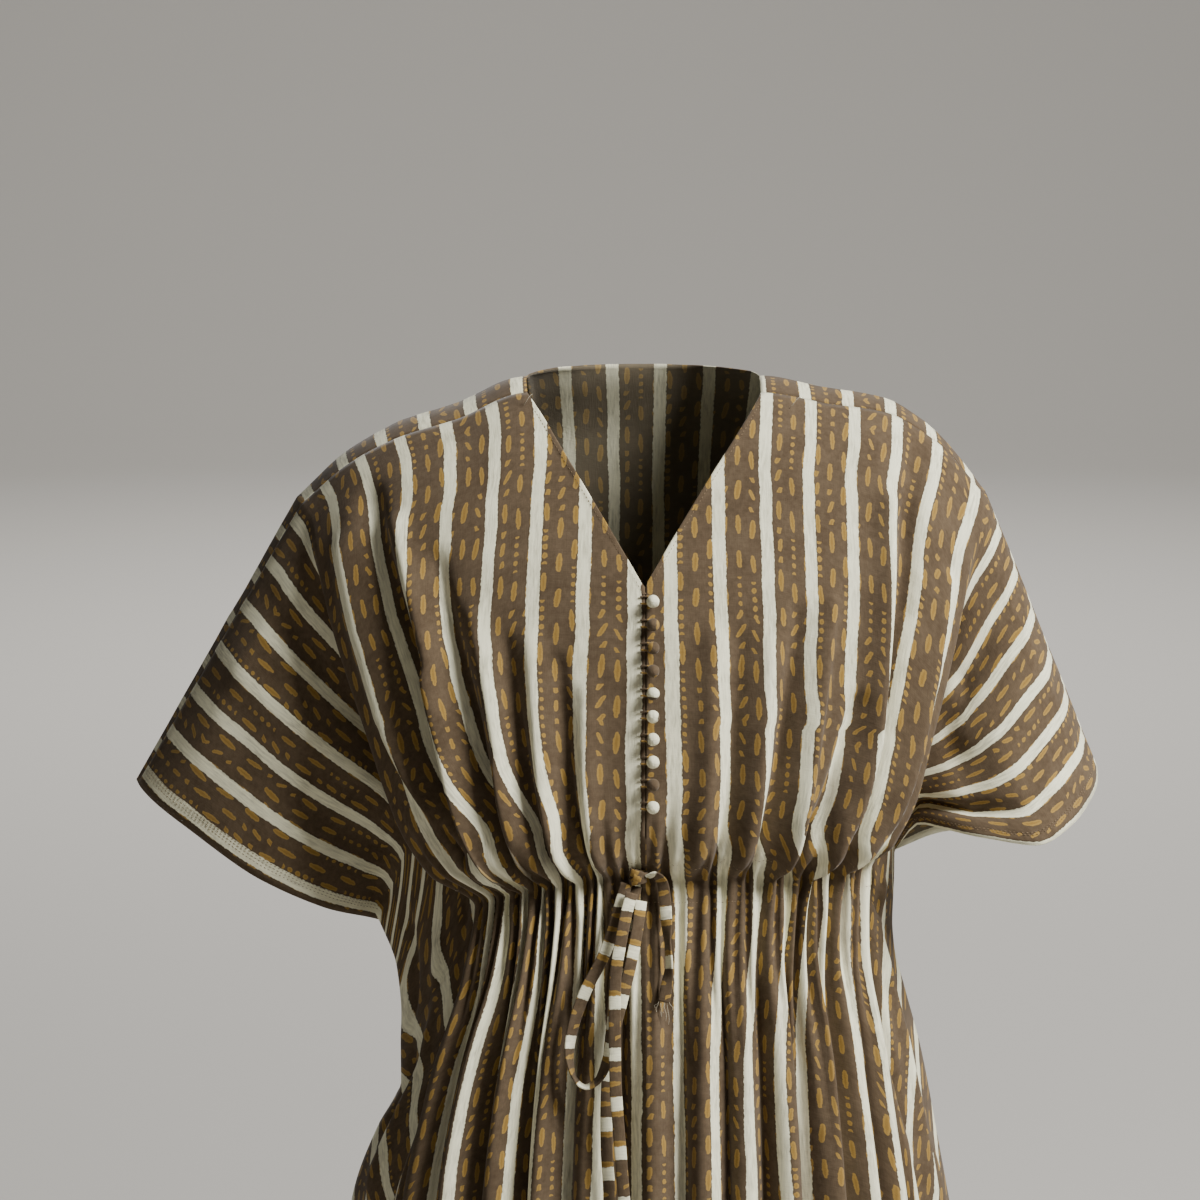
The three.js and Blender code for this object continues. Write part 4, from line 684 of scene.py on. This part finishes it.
def printNodes(node, uvName="flatCut", fade=0.0):
    place = node("UVMap", uv_map=uvName)
    inMillimetres = node("VectorMath", {0: place, "Scale": 1000}, operation="SCALE")
    apart = node("SeparateXYZ", [inMillimetres])
    u, v = apart, apart.node.outputs[1]
    # hand printing: slow drift of a line, and a ragged edge. Noise scales are per millimetre, so 0.02 is
    # one cloud each 50 mm
    drift = node("TexNoise", {"Vector": inMillimetres, "Scale": 0.02, "Detail": 1})
    ragged = node("TexNoise", {"Vector": inMillimetres, "Scale": 0.3, "Detail": 3})
    driftOff = node("MapRange", [drift, 0, 1, -printed["drift"], printed["drift"]])
    raggedOff = node("MapRange", [ragged, 0, 1, -printed["ragged"], printed["ragged"]])
    moved = node("Math", [u, driftOff], operation="ADD")
    stripeU = node("Math", [moved, raggedOff], operation="ADD")
    pitch, column, row = printed["stripePitch"], printed["dashPitch"], printed["dashRow"]
    off = node("Math", [stripeU, pitch / 2, -pitch / 2], operation="WRAP")
    creamGap = node("Math", [node("Math", [off], operation="ABSOLUTE"), printed["stripeHalf"]],
                    operation="SUBTRACT")
    cream = node("MapRange", [creamGap, -0.4, 0.3, 1, 0], interpolation_type="SMOOTHSTEP")
    # the column and row of the dash block that a point lies in; each has its own chance number
    raggedHalf = node("Math", [raggedOff, 0.5, u], operation="MULTIPLY_ADD")
    dashOff = node("Math", [raggedHalf, column / 2, -column / 2], operation="WRAP")
    columnNumber = node("Math", [node("Math", [raggedHalf, dashOff], operation="SUBTRACT"), column],
                        operation="DIVIDE")
    columnInBlock = node("Math", [node("Math", [columnNumber], operation="ROUND"), printed["blockColumns"]],
                         operation="FLOORED_MODULO")
    phase = node("TexWhiteNoise", {"W": columnInBlock}, noise_dimensions="1D")
    movedV = node("Math", [phase, row, v], operation="MULTIPLY_ADD")
    rowOff = node("Math", [movedV, row / 2, -row / 2], operation="WRAP")
    rowNumber = node("Math", [node("Math", [movedV, rowOff], operation="SUBTRACT"), row], operation="DIVIDE")
    rowInBlock = node("Math", [node("Math", [rowNumber], operation="ROUND"), printed["blockRows"]],
                      operation="FLOORED_MODULO")
    cell = node("CombineXYZ", [columnInBlock, rowInBlock, 0.5])
    chance = node("TexWhiteNoise", [cell], noise_dimensions="3D")
    three = node("SeparateColor", [chance.node.outputs["Color"]])
    length, lean = three.node.outputs[1], three.node.outputs[2]
    # most cells hold one long dash, some two short slanted ones, some a row of dots
    dots = node("Math", [three, printed["dotsFrom"]], operation="GREATER_THAN")
    pairOrDots = node("Math", [three, printed["pairsFrom"]], operation="GREATER_THAN")
    pair = node("Math", [pairOrDots, dots], operation="SUBTRACT")
    marks = node("Math", [dots, 3, node("Math", [pair, 1], operation="ADD")], operation="MULTIPLY_ADD")
    markHalf = node("Math", [row / 2, marks], operation="DIVIDE")
    markLow = node("Math", [markHalf, -1], operation="MULTIPLY")
    markOff = node("Math", [rowOff, markHalf, markLow], operation="WRAP")
    fullLength = node("MapRange", [length, 0, 1, *printed["dashHalfLength"]])
    shorter = node("Math", [pair, -0.6, 1], operation="MULTIPLY_ADD")
    halfLength = node("Math", [fullLength, shorter], operation="MULTIPLY")
    notDots = node("Math", [1, dots], operation="SUBTRACT")
    halfLength = node("Math", [halfLength, notDots, 0.3], operation="MULTIPLY_ADD")
    leaning = node("Math", [pair, 0.9, 0.28], operation="MULTIPLY_ADD")
    slant = node("Math", [node("Math", [lean, 0.5], operation="SUBTRACT"), leaning], operation="MULTIPLY")
    straightened = node("Math", [markOff, slant, dashOff], operation="MULTIPLY_ADD")
    beyond = node("Math", [node("Math", [markOff], operation="ABSOLUTE"), halfLength], operation="SUBTRACT")
    beyond = node("Math", [beyond, 0], operation="MAXIMUM")
    corner = node("VectorMath", {0: node("CombineXYZ", [straightened, beyond, 0])}, operation="LENGTH")
    corner = corner.node.outputs["Value"]
    wide = node("MapRange", [lean, 0, 1, *printed["dashHalfWidth"]])
    wide = node("Math", [pairOrDots, -0.45, wide], operation="MULTIPLY_ADD")
    # a mark narrows towards its ends, and its outline is uneven
    narrowing = node("Math", [node("Math", [markOff, markOff], operation="MULTIPLY"), 0.02, corner],
                     operation="MULTIPLY_ADD")
    blotted = node("TexNoise", {"Vector": inMillimetres, "Scale": 0.45, "Detail": 2})
    narrowing = node("Math", [node("MapRange", [blotted, 0, 1, -0.7, 0.9]), narrowing], operation="ADD")
    dashGap = node("Math", [narrowing, wide], operation="SUBTRACT")
    ochre = node("MapRange", [dashGap, -0.35, 0.3, 1, 0], interpolation_type="SMOOTHSTEP")
    # uneven dye: cloudy ground, greyish smears on the cream, a darker heart in each dash
    cloud = node("TexNoise", {"Vector": inMillimetres, "Scale": 0.035, "Detail": 4})
    stretched = node("VectorMath", [inMillimetres, (0.55, 0.07, 1)], operation="MULTIPLY")
    threads = node("TexNoise", {"Vector": stretched, "Scale": 1.0, "Detail": 4, "Roughness": 0.6})
    cloudShare = node("MapRange", [cloud, 0.35, 0.65, 0, 1])
    streaks = node("TexNoise", {"Vector": inMillimetres, "Scale": 0.22, "Detail": 4, "Roughness": 0.65})
    dyeShare = node("MapRange", [streaks, 0.35, 0.7, 0, 0.65])
    dyeShare = node("Math", [cloudShare, 0.5, dyeShare], operation="MULTIPLY_ADD", use_clamp=True)
    ground = node("MixRGB", [dyeShare, linear(printed["brown"]), linear(printed["brownDark"])])
    threadShare = node("MapRange", [threads, 0.38, 0.72, 0, 1])
    patchy = node("MapRange", [cloudShare, 0, 1, 0.3, 1])
    grey = node("Math", [patchy, threadShare], operation="MULTIPLY")
    creamInk = node("MixRGB", [grey, linear(printed["cream"]), linear(printed["creamGrey"])])
    heart = node("MapRange", [dashGap, -1.9, -0.7, 0.55, 0])
    ochreInk = node("MixRGB", [heart, linear(printed["ochre"]), linear(printed["ochreDark"])])
    rim = node("MapRange", [creamGap, 0.1, 1.3, 0.6, 0])
    ground = node("MixRGB", [rim, ground, linear(printed["rim"])])
    colour = node("MixRGB", [ochre, ground, ochreInk])
    colour = node("MixRGB", [cream, colour, creamInk])
    if fade:
        colour = node("MixRGB", [fade, colour, linear(printed["creamGrey"])])
    # thread relief: a real thread is 0.4 mm, drawn as 1.3 mm so that it shows
    across = node("VectorMath", [inMillimetres, (0.9, 0.12, 1)], operation="MULTIPLY")
    downward = node("VectorMath", [inMillimetres, (0.12, 0.9, 1)], operation="MULTIPLY")
    warp = node("TexNoise", {"Vector": across, "Scale": 1.0, "Detail": 2})
    weft = node("TexNoise", {"Vector": downward, "Scale": 1.0, "Detail": 2})
    relief = node("Math", [warp, weft], operation="ADD")
    return colour, relief


def printedCotton(name, uvName="flatCut", fade=0.0):
    material, node = newMaterial(name)
    colour, relief = printNodes(node, uvName, fade)
    bump = node("Bump", {"Strength": 0.25, "Distance": 0.0006, "Height": relief})
    shader = node("BsdfPrincipled", {
        "Base Color": colour, "Roughness": printed["roughness"], "Normal": bump,
        "Sheen Weight": 0.12, "Sheen Roughness": 0.5, "Specular IOR Level": 0.25})
    node("OutputMaterial", [shader])
    return material


outside = printedCotton("blockPrintedCotton")
inside = printedCotton("blockPrintedCottonReverse", fade=0.18)
front = panelPiece("front", [outside, inside])
back = panelPiece("back", [outside, inside])
standsFor(front, "front")
standsFor(back, "back")
print("panels made:", len(front.data.polygons) + len(back.data.polygons), "faces")


def areaOf(piece):
    # area of the piece's flat cut, in square metres
    mesh = piece.data
    uv = np.empty(len(mesh.loops) * 2, np.float32)
    mesh.uv_layers[0].uv.foreach_get("vector", uv)
    corner = uv.reshape(-1, 4, 2)
    a, b = corner[:, 2] - corner[:, 0], corner[:, 3] - corner[:, 1]
    return float(np.abs(a[:, 0] * b[:, 1] - a[:, 1] * b[:, 0]).sum() / 2)


def tubeFaces(rings, sides, closed=False):
    # faces between rings of points, and one across each open end
    steps = [(r * sides, (r + 1) % rings * sides) for r in range(rings if closed else rings - 1)]
    faces = [(low + k, low + (k + 1) % sides, high + (k + 1) % sides, high + k)
             for low, high in steps for k in range(sides)]
    if not closed:
        faces += [tuple(range(sides - 1, -1, -1)), tuple(range((rings - 1) * sides, rings * sides))]
    return faces


def ringOf(radius, sides):
    around = np.linspace(0, math.tau, sides, endpoint=False)
    return [(math.cos(q) * radius, math.sin(q) * radius) for q in around]


def ballGrid(rings, turns, tip):
    # angles from pole to pole and around; tip leaves a small flat face at each pole
    around = np.linspace(0, math.tau, turns, endpoint=False)
    return np.meshgrid(np.linspace(tip, math.pi - tip, rings), around, indexing="ij")


def sweep(name, path, section, widthways, material, closed=False, flatStart=0.0, flatShare=1.0, twist=None):
    # a tube along a path in millimetres; section is (thickness, width) corners, widthways the direction
    # of its width at each point
    path = np.asarray(path, float)
    ahead = np.gradient(path, axis=0)
    if closed:
        ahead = np.roll(path, -1, 0) - np.roll(path, 1, 0)
    ahead /= np.linalg.norm(ahead, axis=1, keepdims=True)
    wide = np.asarray(widthways, float) * np.ones_like(path)
    wide = wide - ahead * (wide * ahead).sum(1, keepdims=True)
    wide /= np.linalg.norm(wide, axis=1, keepdims=True)
    thick = np.cross(ahead, wide)
    if twist is not None:
        turn = np.radians(twist)[:, None]
        turned = wide * np.cos(turn) + thick * np.sin(turn)
        thick = thick * np.cos(turn) - wide * np.sin(turn)
        wide = turned
    points = np.stack([path + thick * t + wide * w for t, w in section], 1).reshape(-1, 3)
    steps = np.concatenate([[0], np.cumsum(np.linalg.norm(np.diff(path, axis=0), axis=1))])
    spots = [(step * flatShare + flatStart, w) for step in steps for _, w in section]
    return addMesh(name, points, tubeFaces(len(path), len(section), closed), spots, [material])


def smoothLine(rows, perStep=8):
    # a smooth line through every row
    rows = np.asarray(rows, float)
    padded = np.concatenate([[2 * rows[0] - rows[1]], rows, [2 * rows[-1] - rows[-2]]])
    line = []
    for k in range(1, len(padded) - 2):
        p0, p1, p2, p3 = padded[k - 1:k + 3]
        for q in np.arange(perStep) / perStep:
            line.append(0.5 * (2 * p1 + (p2 - p0) * q + (2 * p0 - 5 * p1 + 4 * p2 - p3) * q * q
                               + (3 * p1 - p0 - 3 * p2 + p3) * q ** 3))
    line.append(rows[-1])
    return np.array(line)


def joined(name, parts):
    # one object of several, with the last one's name changed
    with bpy.context.temp_override(active_object=parts[-1], selected_editable_objects=parts):
        bpy.ops.object.join()
    parts[-1].name = parts[-1].data.name = name
    return parts[-1]


# the drawstring: a flat sewn tie of the same cloth, cut across its stripes. A route's columns are across,
# up, how far it stands off the cloth, and how far its width is turned, in degrees
tie = {
    "width": 9, "thickness": 1.8, "rounded": 0.72, "middle": 0.86, "edge": 0.4,     # its section's shape
    "flatStart": {"tie_bow_loop": -14, "tie_short_end": -2, "tie_long_end": -10, "tie_back_end": -30},
    "farEnd": {"tie_bow_loop": "object", "tie_short_end": "bare", "tie_long_end": "bare",
               "tie_back_end": "bare"},
}
routeColumns = "x z lift turn"
tieRoutes = {
    "tie_bow_loop": table(
        routeColumns,
        (-13, -371, 10.2, 10), (-18, -387, 11.5, 15), (-23, -404, 13, 10), (-31, -424, 14, 5),
        (-43, -446, 14, 0), (-52, -470, 14, -15), (-56, -492, 14, -40), (-53, -510, 14, -80),
        (-45, -518, 15, -90), (-35, -513, 17, -70), (-28, -499, 18, -35), (-23, -478, 18, -10),
        (-17, -455, 17, 0), (-10, -428, 15.5, 5), (-5, -404, 13, 10), (-2, -384, 10.2, 10)),
    "tie_short_end": table(
        routeColumns,
        (2.9, -366, 7.6, 60), (9, -364, 8.3, 50), (14, -371, 8.8, 20), (16, -383, 8.8, 5),
        (17, -398, 9, 20), (18, -414, 9, 62), (19, -432, 9, 55), (17, -446, 9, 10), (15, -457, 9, 0)),
    "tie_long_end": table(
        routeColumns,
        (-9, -377, 16.2, 0), (-13, -390, 20, 5), (-17, -408, 23.5, 10), (-21, -430, 25.5, 10),
        (-22, -455, 26, 5), (-22, -485, 26, 0), (-21, -520, 25, -5), (-18, -560, 23, 0),
        (-15, -600, 22, 5), (-13, -640, 21, 0), (-14, -672, 20, 0)),
    "tie_back_end": table(
        routeColumns,
        (-6, -373.7, 7.9, 0), (-10, -396, 8.7, 0), (-15, -420, 9.5, 0), (-20, -450, 9, 0),
        (-25, -485, 10, 5), (-28, -525, 12, 10), (-28, -565, 13, 5), (-26, -600, 13, 0),
        (-27, -636, 13, -5)),
}
halfThick, halfWide = tie["thickness"] / 2, tie["width"] / 2
flatPart, edgeThick = halfWide - tie["rounded"], halfThick * tie["edge"]
middleThick = halfThick * tie["middle"]
flatTube = [(halfThick, -flatPart), (middleThick, 0), (halfThick, flatPart), (edgeThick, halfWide)]
flatTube += [(-t, w) for t, w in reversed(flatTube)] + [(-edgeThick, -halfWide), (edgeThick, -halfWide)]
tiePieces = {}
for name, route in tieRoutes.items():
    line = smoothLine([(x, frontAt(x, z, smoothPoint)[1] - lift, z)
                       for x, z, lift in zip(route["x"], route["z"], route["lift"])])
    turn = np.interp(np.linspace(0, 1, len(line)), np.linspace(0, 1, len(route["turn"])), route["turn"])
    run = np.linalg.norm(np.diff(line, axis=0), axis=1).sum() * mm
    facingOut = np.cross(np.gradient(line, axis=0), (0, -1, 0))
    piece = sweep(name, line, flatTube, facingOut, outside, flatStart=tie["flatStart"][name], twist=turn)
    standsFor(piece, name)
    tiePieces[name] = (piece, line, run)
    print(name, round(run, 3), "m long")

# the knot: the tie wound round itself, twice across and once over, with a small heart of folded cloth
knot = {
    "x": -5, "z": -366, "lift": 2.6, "depth": 10, "squeezed": 0.62, "flatStart": 8, "flatShare": 0.65,
    "turns": table("tipped wide deep off share", (12, 6.2, 3.9, -2.6, 0.62), (-16, 6.4, 4.1, 2.6, 0.62),
                   (74, 5.0, 4.4, 0, 0.72)),
    "heart": (5.6, 3.6, 4.8), "heartRings": 12, "heartTurns": 20, "heartPrint": 12,
}
knotY = frontAt(knot["x"], knot["z"], smoothPoint)[1] - knot["lift"] - knot["depth"] / 2
knotAt = np.array([knot["x"], knotY, knot["z"]])
band = np.linspace(0, math.tau, 40, endpoint=False)
knotParts = []
for tipped, wide, deep, off, share in zip(*knot["turns"].values()):
    tip = math.radians(tipped)
    across = np.cos(band) * wide
    ring = np.stack([across * math.cos(tip) - off * math.sin(tip), np.sin(band) * deep,
                     across * math.sin(tip) + off * math.cos(tip)], 1) + knotAt
    section = [(t * knot["squeezed"], w * share) for t, w in flatTube]
    knotParts.append(sweep("knot", ring, section, (-math.sin(tip), 0, math.cos(tip)), outside, closed=True,
                           flatStart=knot["flatStart"], flatShare=knot["flatShare"]))
a, b = ballGrid(knot["heartRings"], knot["heartTurns"], 0.02)
heart = np.stack([np.sin(a) * np.cos(b), -np.sin(a) * np.sin(b), np.cos(a)], -1).reshape(-1, 3)
heart = heart * knot["heart"]
knotParts.append(addMesh("tie_knot", heart + knotAt, tubeFaces(knot["heartRings"], knot["heartTurns"]),
                         heart[:, [0, 2]] + (knot["heartPrint"], 0), [outside]))
standsFor(joined("tie_knot", knotParts), "tie_knot")

# buttons: cotton pulled over a ball, its pleats gathered at the back; which part of the print each one
# shows, as an offset across and down the printed cloth
button = {
    "count": 10, "radius": 4.9, "x": 6.5, "firstZ": -157, "lastZ": -309, "shank": (1.2, 2.6), "sink": 0.7,
    "shankFromTo": (-0.2, 4.0), "gap": 0.35, "rings": 18, "turns": 28,
    "pleats": 9, "pleatDeep": 0.07, "pleatsFrom": 1.7, "uneven": 0.015,
    "patch": [(0, 0), (18, 3), (13, 17), (20, 40), (0, 60), (1, 80), (-1, 99), (0, 121), (16, 141),
              (0.5, 160)],
    "turned": {5}, "turnedBy": -3.2,    # the one with a stripe across its upper half
}
loopSize = {"thick": 1.4, "half": 2.6, "sewn": 4, "clearance": 0.5, "gap": 0.3}
# the buttons' cotton is cut from a stripe: nearly all cream, matt, with a brown edge here and there
creamBall = printedCotton("creamPrintedButtonCotton")
for k in range(button["count"]):
    x, z = button["x"], mix(button["firstZ"], button["lastZ"], k / (button["count"] - 1))
    label = f"{k + 1:02d}"
    seatY = frontAt(x, z)[1] - cloth["thickness"] / 2 - button["gap"]
    centre = np.array([x, seatY - button["shank"][1] - button["radius"] + button["sink"], z])
    a, b = ballGrid(button["rings"], button["turns"], 0.03)
    pleated = ease((a - button["pleatsFrom"]) / 1.2) * (0.5 + 0.5 * np.cos(button["pleats"] * b + k))
    dented = button["uneven"] * np.sin(3 * b + 2 * a + k)
    reach = button["radius"] * (1 - button["pleatDeep"] * pleated + dented)
    ball = np.stack([np.sin(a) * np.cos(b), -np.cos(a), np.sin(a) * np.sin(b)], -1) * reach[..., None]
    ball = ball.reshape(-1, 3)
    across, down = button["patch"][k]
    spots = ball[:, [0, 2]] + (across, down)
    if k + 1 in button["turned"]:
        spots = ball[:, [2, 0]] + (button["turnedBy"], down)
    ballPiece = addMesh("ball_" + label, ball + centre, tubeFaces(button["rings"], button["turns"]), spots,
                        [creamBall])
    shankLine = [(x, seatY - step, z) for step in np.linspace(*button["shankFromTo"], 4)]
    shankRound = ringOf(button["shank"][0], 10)
    shank = sweep("shank_" + label, shankLine, shankRound, (1, 0, 0), outside, flatStart=15)
    standsFor(joined("button_" + label, [ballPiece, shank]), "button_" + label)
    # its loop, a thin rolled cord of the same cloth, sewn down beside the slit
    thick, high, slitX = loopSize["thick"], loopSize["half"], size["slitX"]
    sewnX = slitX - loopSize["sewn"]
    lift = cloth["thickness"] / 2 + loopSize["gap"] + thick / 2
    tipX = x + button["shank"][0] + loopSize["clearance"] + thick / 2
    route = [(sewnX, -high * 0.9), (slitX, -high), (x - 1, -high), (tipX - 0.6, -high * 0.6)]
    route += [(tipX, 0)] + [(across, -up) for across, up in reversed(route)]
    loopLine = smoothLine([(across, frontAt(across, z + up)[1] - lift, z + up) for across, up in route], 4)
    loopPiece = sweep("loop_" + label, loopLine, ringOf(thick / 2, 8), (0, 1, 0), outside, flatStart=9,
                      flatShare=0.7)
    standsFor(loopPiece, "loop_" + label)
print("buttons, loops and ties made")


def threadMaterial(name, colour, dark):
    # spun cotton: matt, with fine fibres that break its colour up
    material, node = newMaterial(name)
    fibres = node("TexNoise", {"Scale": 900.0, "Detail": 2})
    ink = node("MixRGB", [node("MapRange", [fibres, 0.35, 0.65, 0, 1]), linear(colour), linear(dark)])
    shader = node("BsdfPrincipled", {"Base Color": ink, "Roughness": 0.8, "Specular IOR Level": 0.3,
                                     "Sheen Weight": 0.1})
    node("OutputMaterial", [shader])
    return material


stitch = {"pitch": 3.3, "length": 2.3, "width": 0.55, "height": 0.32, "lift": 0.02}
# rows of stitches: millimetres from an edge, but for the two rows of the casing, which are given as t
sewing = {"sleeve": (10.5, 13.2), "sleeveExtra": 15.6, "casing": (0.958, 1.021), "neck": 6, "hem": 20}


def between(rows, steps, at):
    # points or directions at lengths along a line
    return np.stack([np.interp(at, steps, rows[:, axis]) for axis in range(3)], 1)


def stitchRow(panel, side, s, t, thick):
    # places, directions and outward normals of the stitches along a line given in s and t
    points = clothPoint(panel, side, s, t)
    steps = np.concatenate([[0], np.cumsum(np.linalg.norm(np.diff(points, axis=0), axis=1))])
    at = np.arange(stitch["pitch"] / 2, steps[-1], stitch["pitch"])
    near = stitch["pitch"] / 3
    ahead = between(points, steps, at + near) - between(points, steps, at - near)
    ahead /= np.linalg.norm(ahead, axis=1, keepdims=True) + 1e-9
    normal = between(clothFrame(panel, side, s, t)[0], steps, at)
    normal /= np.linalg.norm(normal, axis=1, keepdims=True)
    lift = cloth["thickness"] * thick / 2 + stitch["lift"]
    return between(points, steps, at) + normal * lift, ahead, normal


def sleeveRow(panel, side, fromEdge):
    t = np.linspace(0.02, size["underarm"] - 0.005, 400)
    outer = along(cutWidth, "u", t)
    return panel, side, 2 - fromEdge / (outer - size["shoulderFlat"]), t, cloth["hemLayer"]


even, level = np.linspace(0, 1, 500), np.zeros(500)
toWaist, toHem = -size["waistZ"], size["waistZ"] - size["hemZ"]
sewn = []
for side in ("left", "right"):
    for panel in ("front", "back"):
        sewn += [sleeveRow(panel, side, off) for off in sewing["sleeve"]]
        sewn += [(panel, side, even, level + t, cloth["layer"]) for t in sewing["casing"]]
        sewn.append((panel, side, 2 * even, level + 2 - sewing["hem"] / toHem, cloth["hemLayer"]))
    neck = even * neckShare
    sewn.append(("front", side, neck, frontTop(neck) + sewing["neck"] / toWaist, cloth["hemLayer"]))
    sewn.append(("back", side, neck, level + sewing["neck"] / toWaist, cloth["hemLayer"]))
sewn.append(sleeveRow("front", "left", sewing["sleeveExtra"]))
place, ahead, normal = (np.concatenate(part) for part in zip(*[stitchRow(*row) for row in sewn]))
sideways = np.cross(ahead, normal)
halfLength, halfWidth = stitch["length"] / 2, stitch["width"] / 2
offsets = [-ahead * halfLength, sideways * halfWidth, normal * stitch["height"], -sideways * halfWidth,
           -normal * stitch["height"], ahead * halfLength]
stitchPoints = np.stack([place + off for off in offsets], 1).reshape(-1, 3)
eight = np.array([(0, 1, 2), (0, 2, 3), (0, 3, 4), (0, 4, 1), (5, 2, 1), (5, 3, 2), (5, 4, 3), (5, 1, 4)])
stitchFaces = (np.arange(len(place))[:, None, None] * 6 + eight).reshape(-1, 3).tolist()
# ochre-grey sewing cotton: dull, and sunk a little into the cloth between its ends
sewingThread = threadMaterial("ochreSewingThread", "#9a8363", "#6e5a41")
stitching = addMesh("stitching", stitchPoints, stitchFaces, None, [sewingThread])
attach(stitching, "root")
print("stitches made:", len(place))

# loose threads of undyed cotton, pale and dull: a few at the short end's cut, and one here and there on
# the cloth
loose = {
    "radius": 0.17, "sides": 5,
    "fray": table("x sway fall", (-3.9, -2, 9), (-2.7, 1, 13), (-1.4, -1, 7), (-0.2, 2, 16), (1.1, -2, 10),
                  (2.4, 1.5, 19), (3.6, 3, 8), (0.6, -3, 12), (-3.2, -4, 6)),
    "stray": table("x z bend", (114, -27, 5), (-150, -360, -6), (-94, 0, 4)), "strayTop": -150,
}
paleThread = threadMaterial("paleCottonThread", "#cfc7b2", "#a99d84")
hairline = ringOf(loose["radius"], loose["sides"])
endAt = tiePieces["tie_short_end"][1][-1]
threads = []
for k, (x, sway, fall) in enumerate(zip(*loose["fray"].values())):
    start = endAt + (x, 0.3 * (k % 3) - 0.3, 1.5)
    threads.append(smoothLine([start, start + (sway * 0.3, -0.4, -fall * 0.35),
                               start + (sway, 0.3, -fall * 0.7), start + (sway * 0.8, 0.6, -fall)], 5))
fray = joined("tieFray", [sweep("fray", line, hairline, (1, 0, 0), paleThread) for line in threads])
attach(fray, "root")
threads = []
for x, z, bend in zip(*loose["stray"].values()):
    base = frontAt(x, z)
    if z > loose["strayTop"]:
        base = clothPoint("front", "left" if x < 0 else "right", abs(x) / size["shoulderFlat"], 0.05)
    threads.append(smoothLine([base + (0, -0.8, 0), base + (bend * 0.4, -2.2, 3), base + (bend, -2.4, 7),
                               base + (bend * 1.6, -1.6, 9)], 5))
threads = [sweep("stray", line, hairline, (1, 0, 0), paleThread) for line in threads]
strayThreads = joined("strayThreads", threads)
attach(strayThreads, "root")

# the area of each cloth panel's flat cut
for name, piece in (("front", front), ("back", back)):
    area = areaOf(piece)
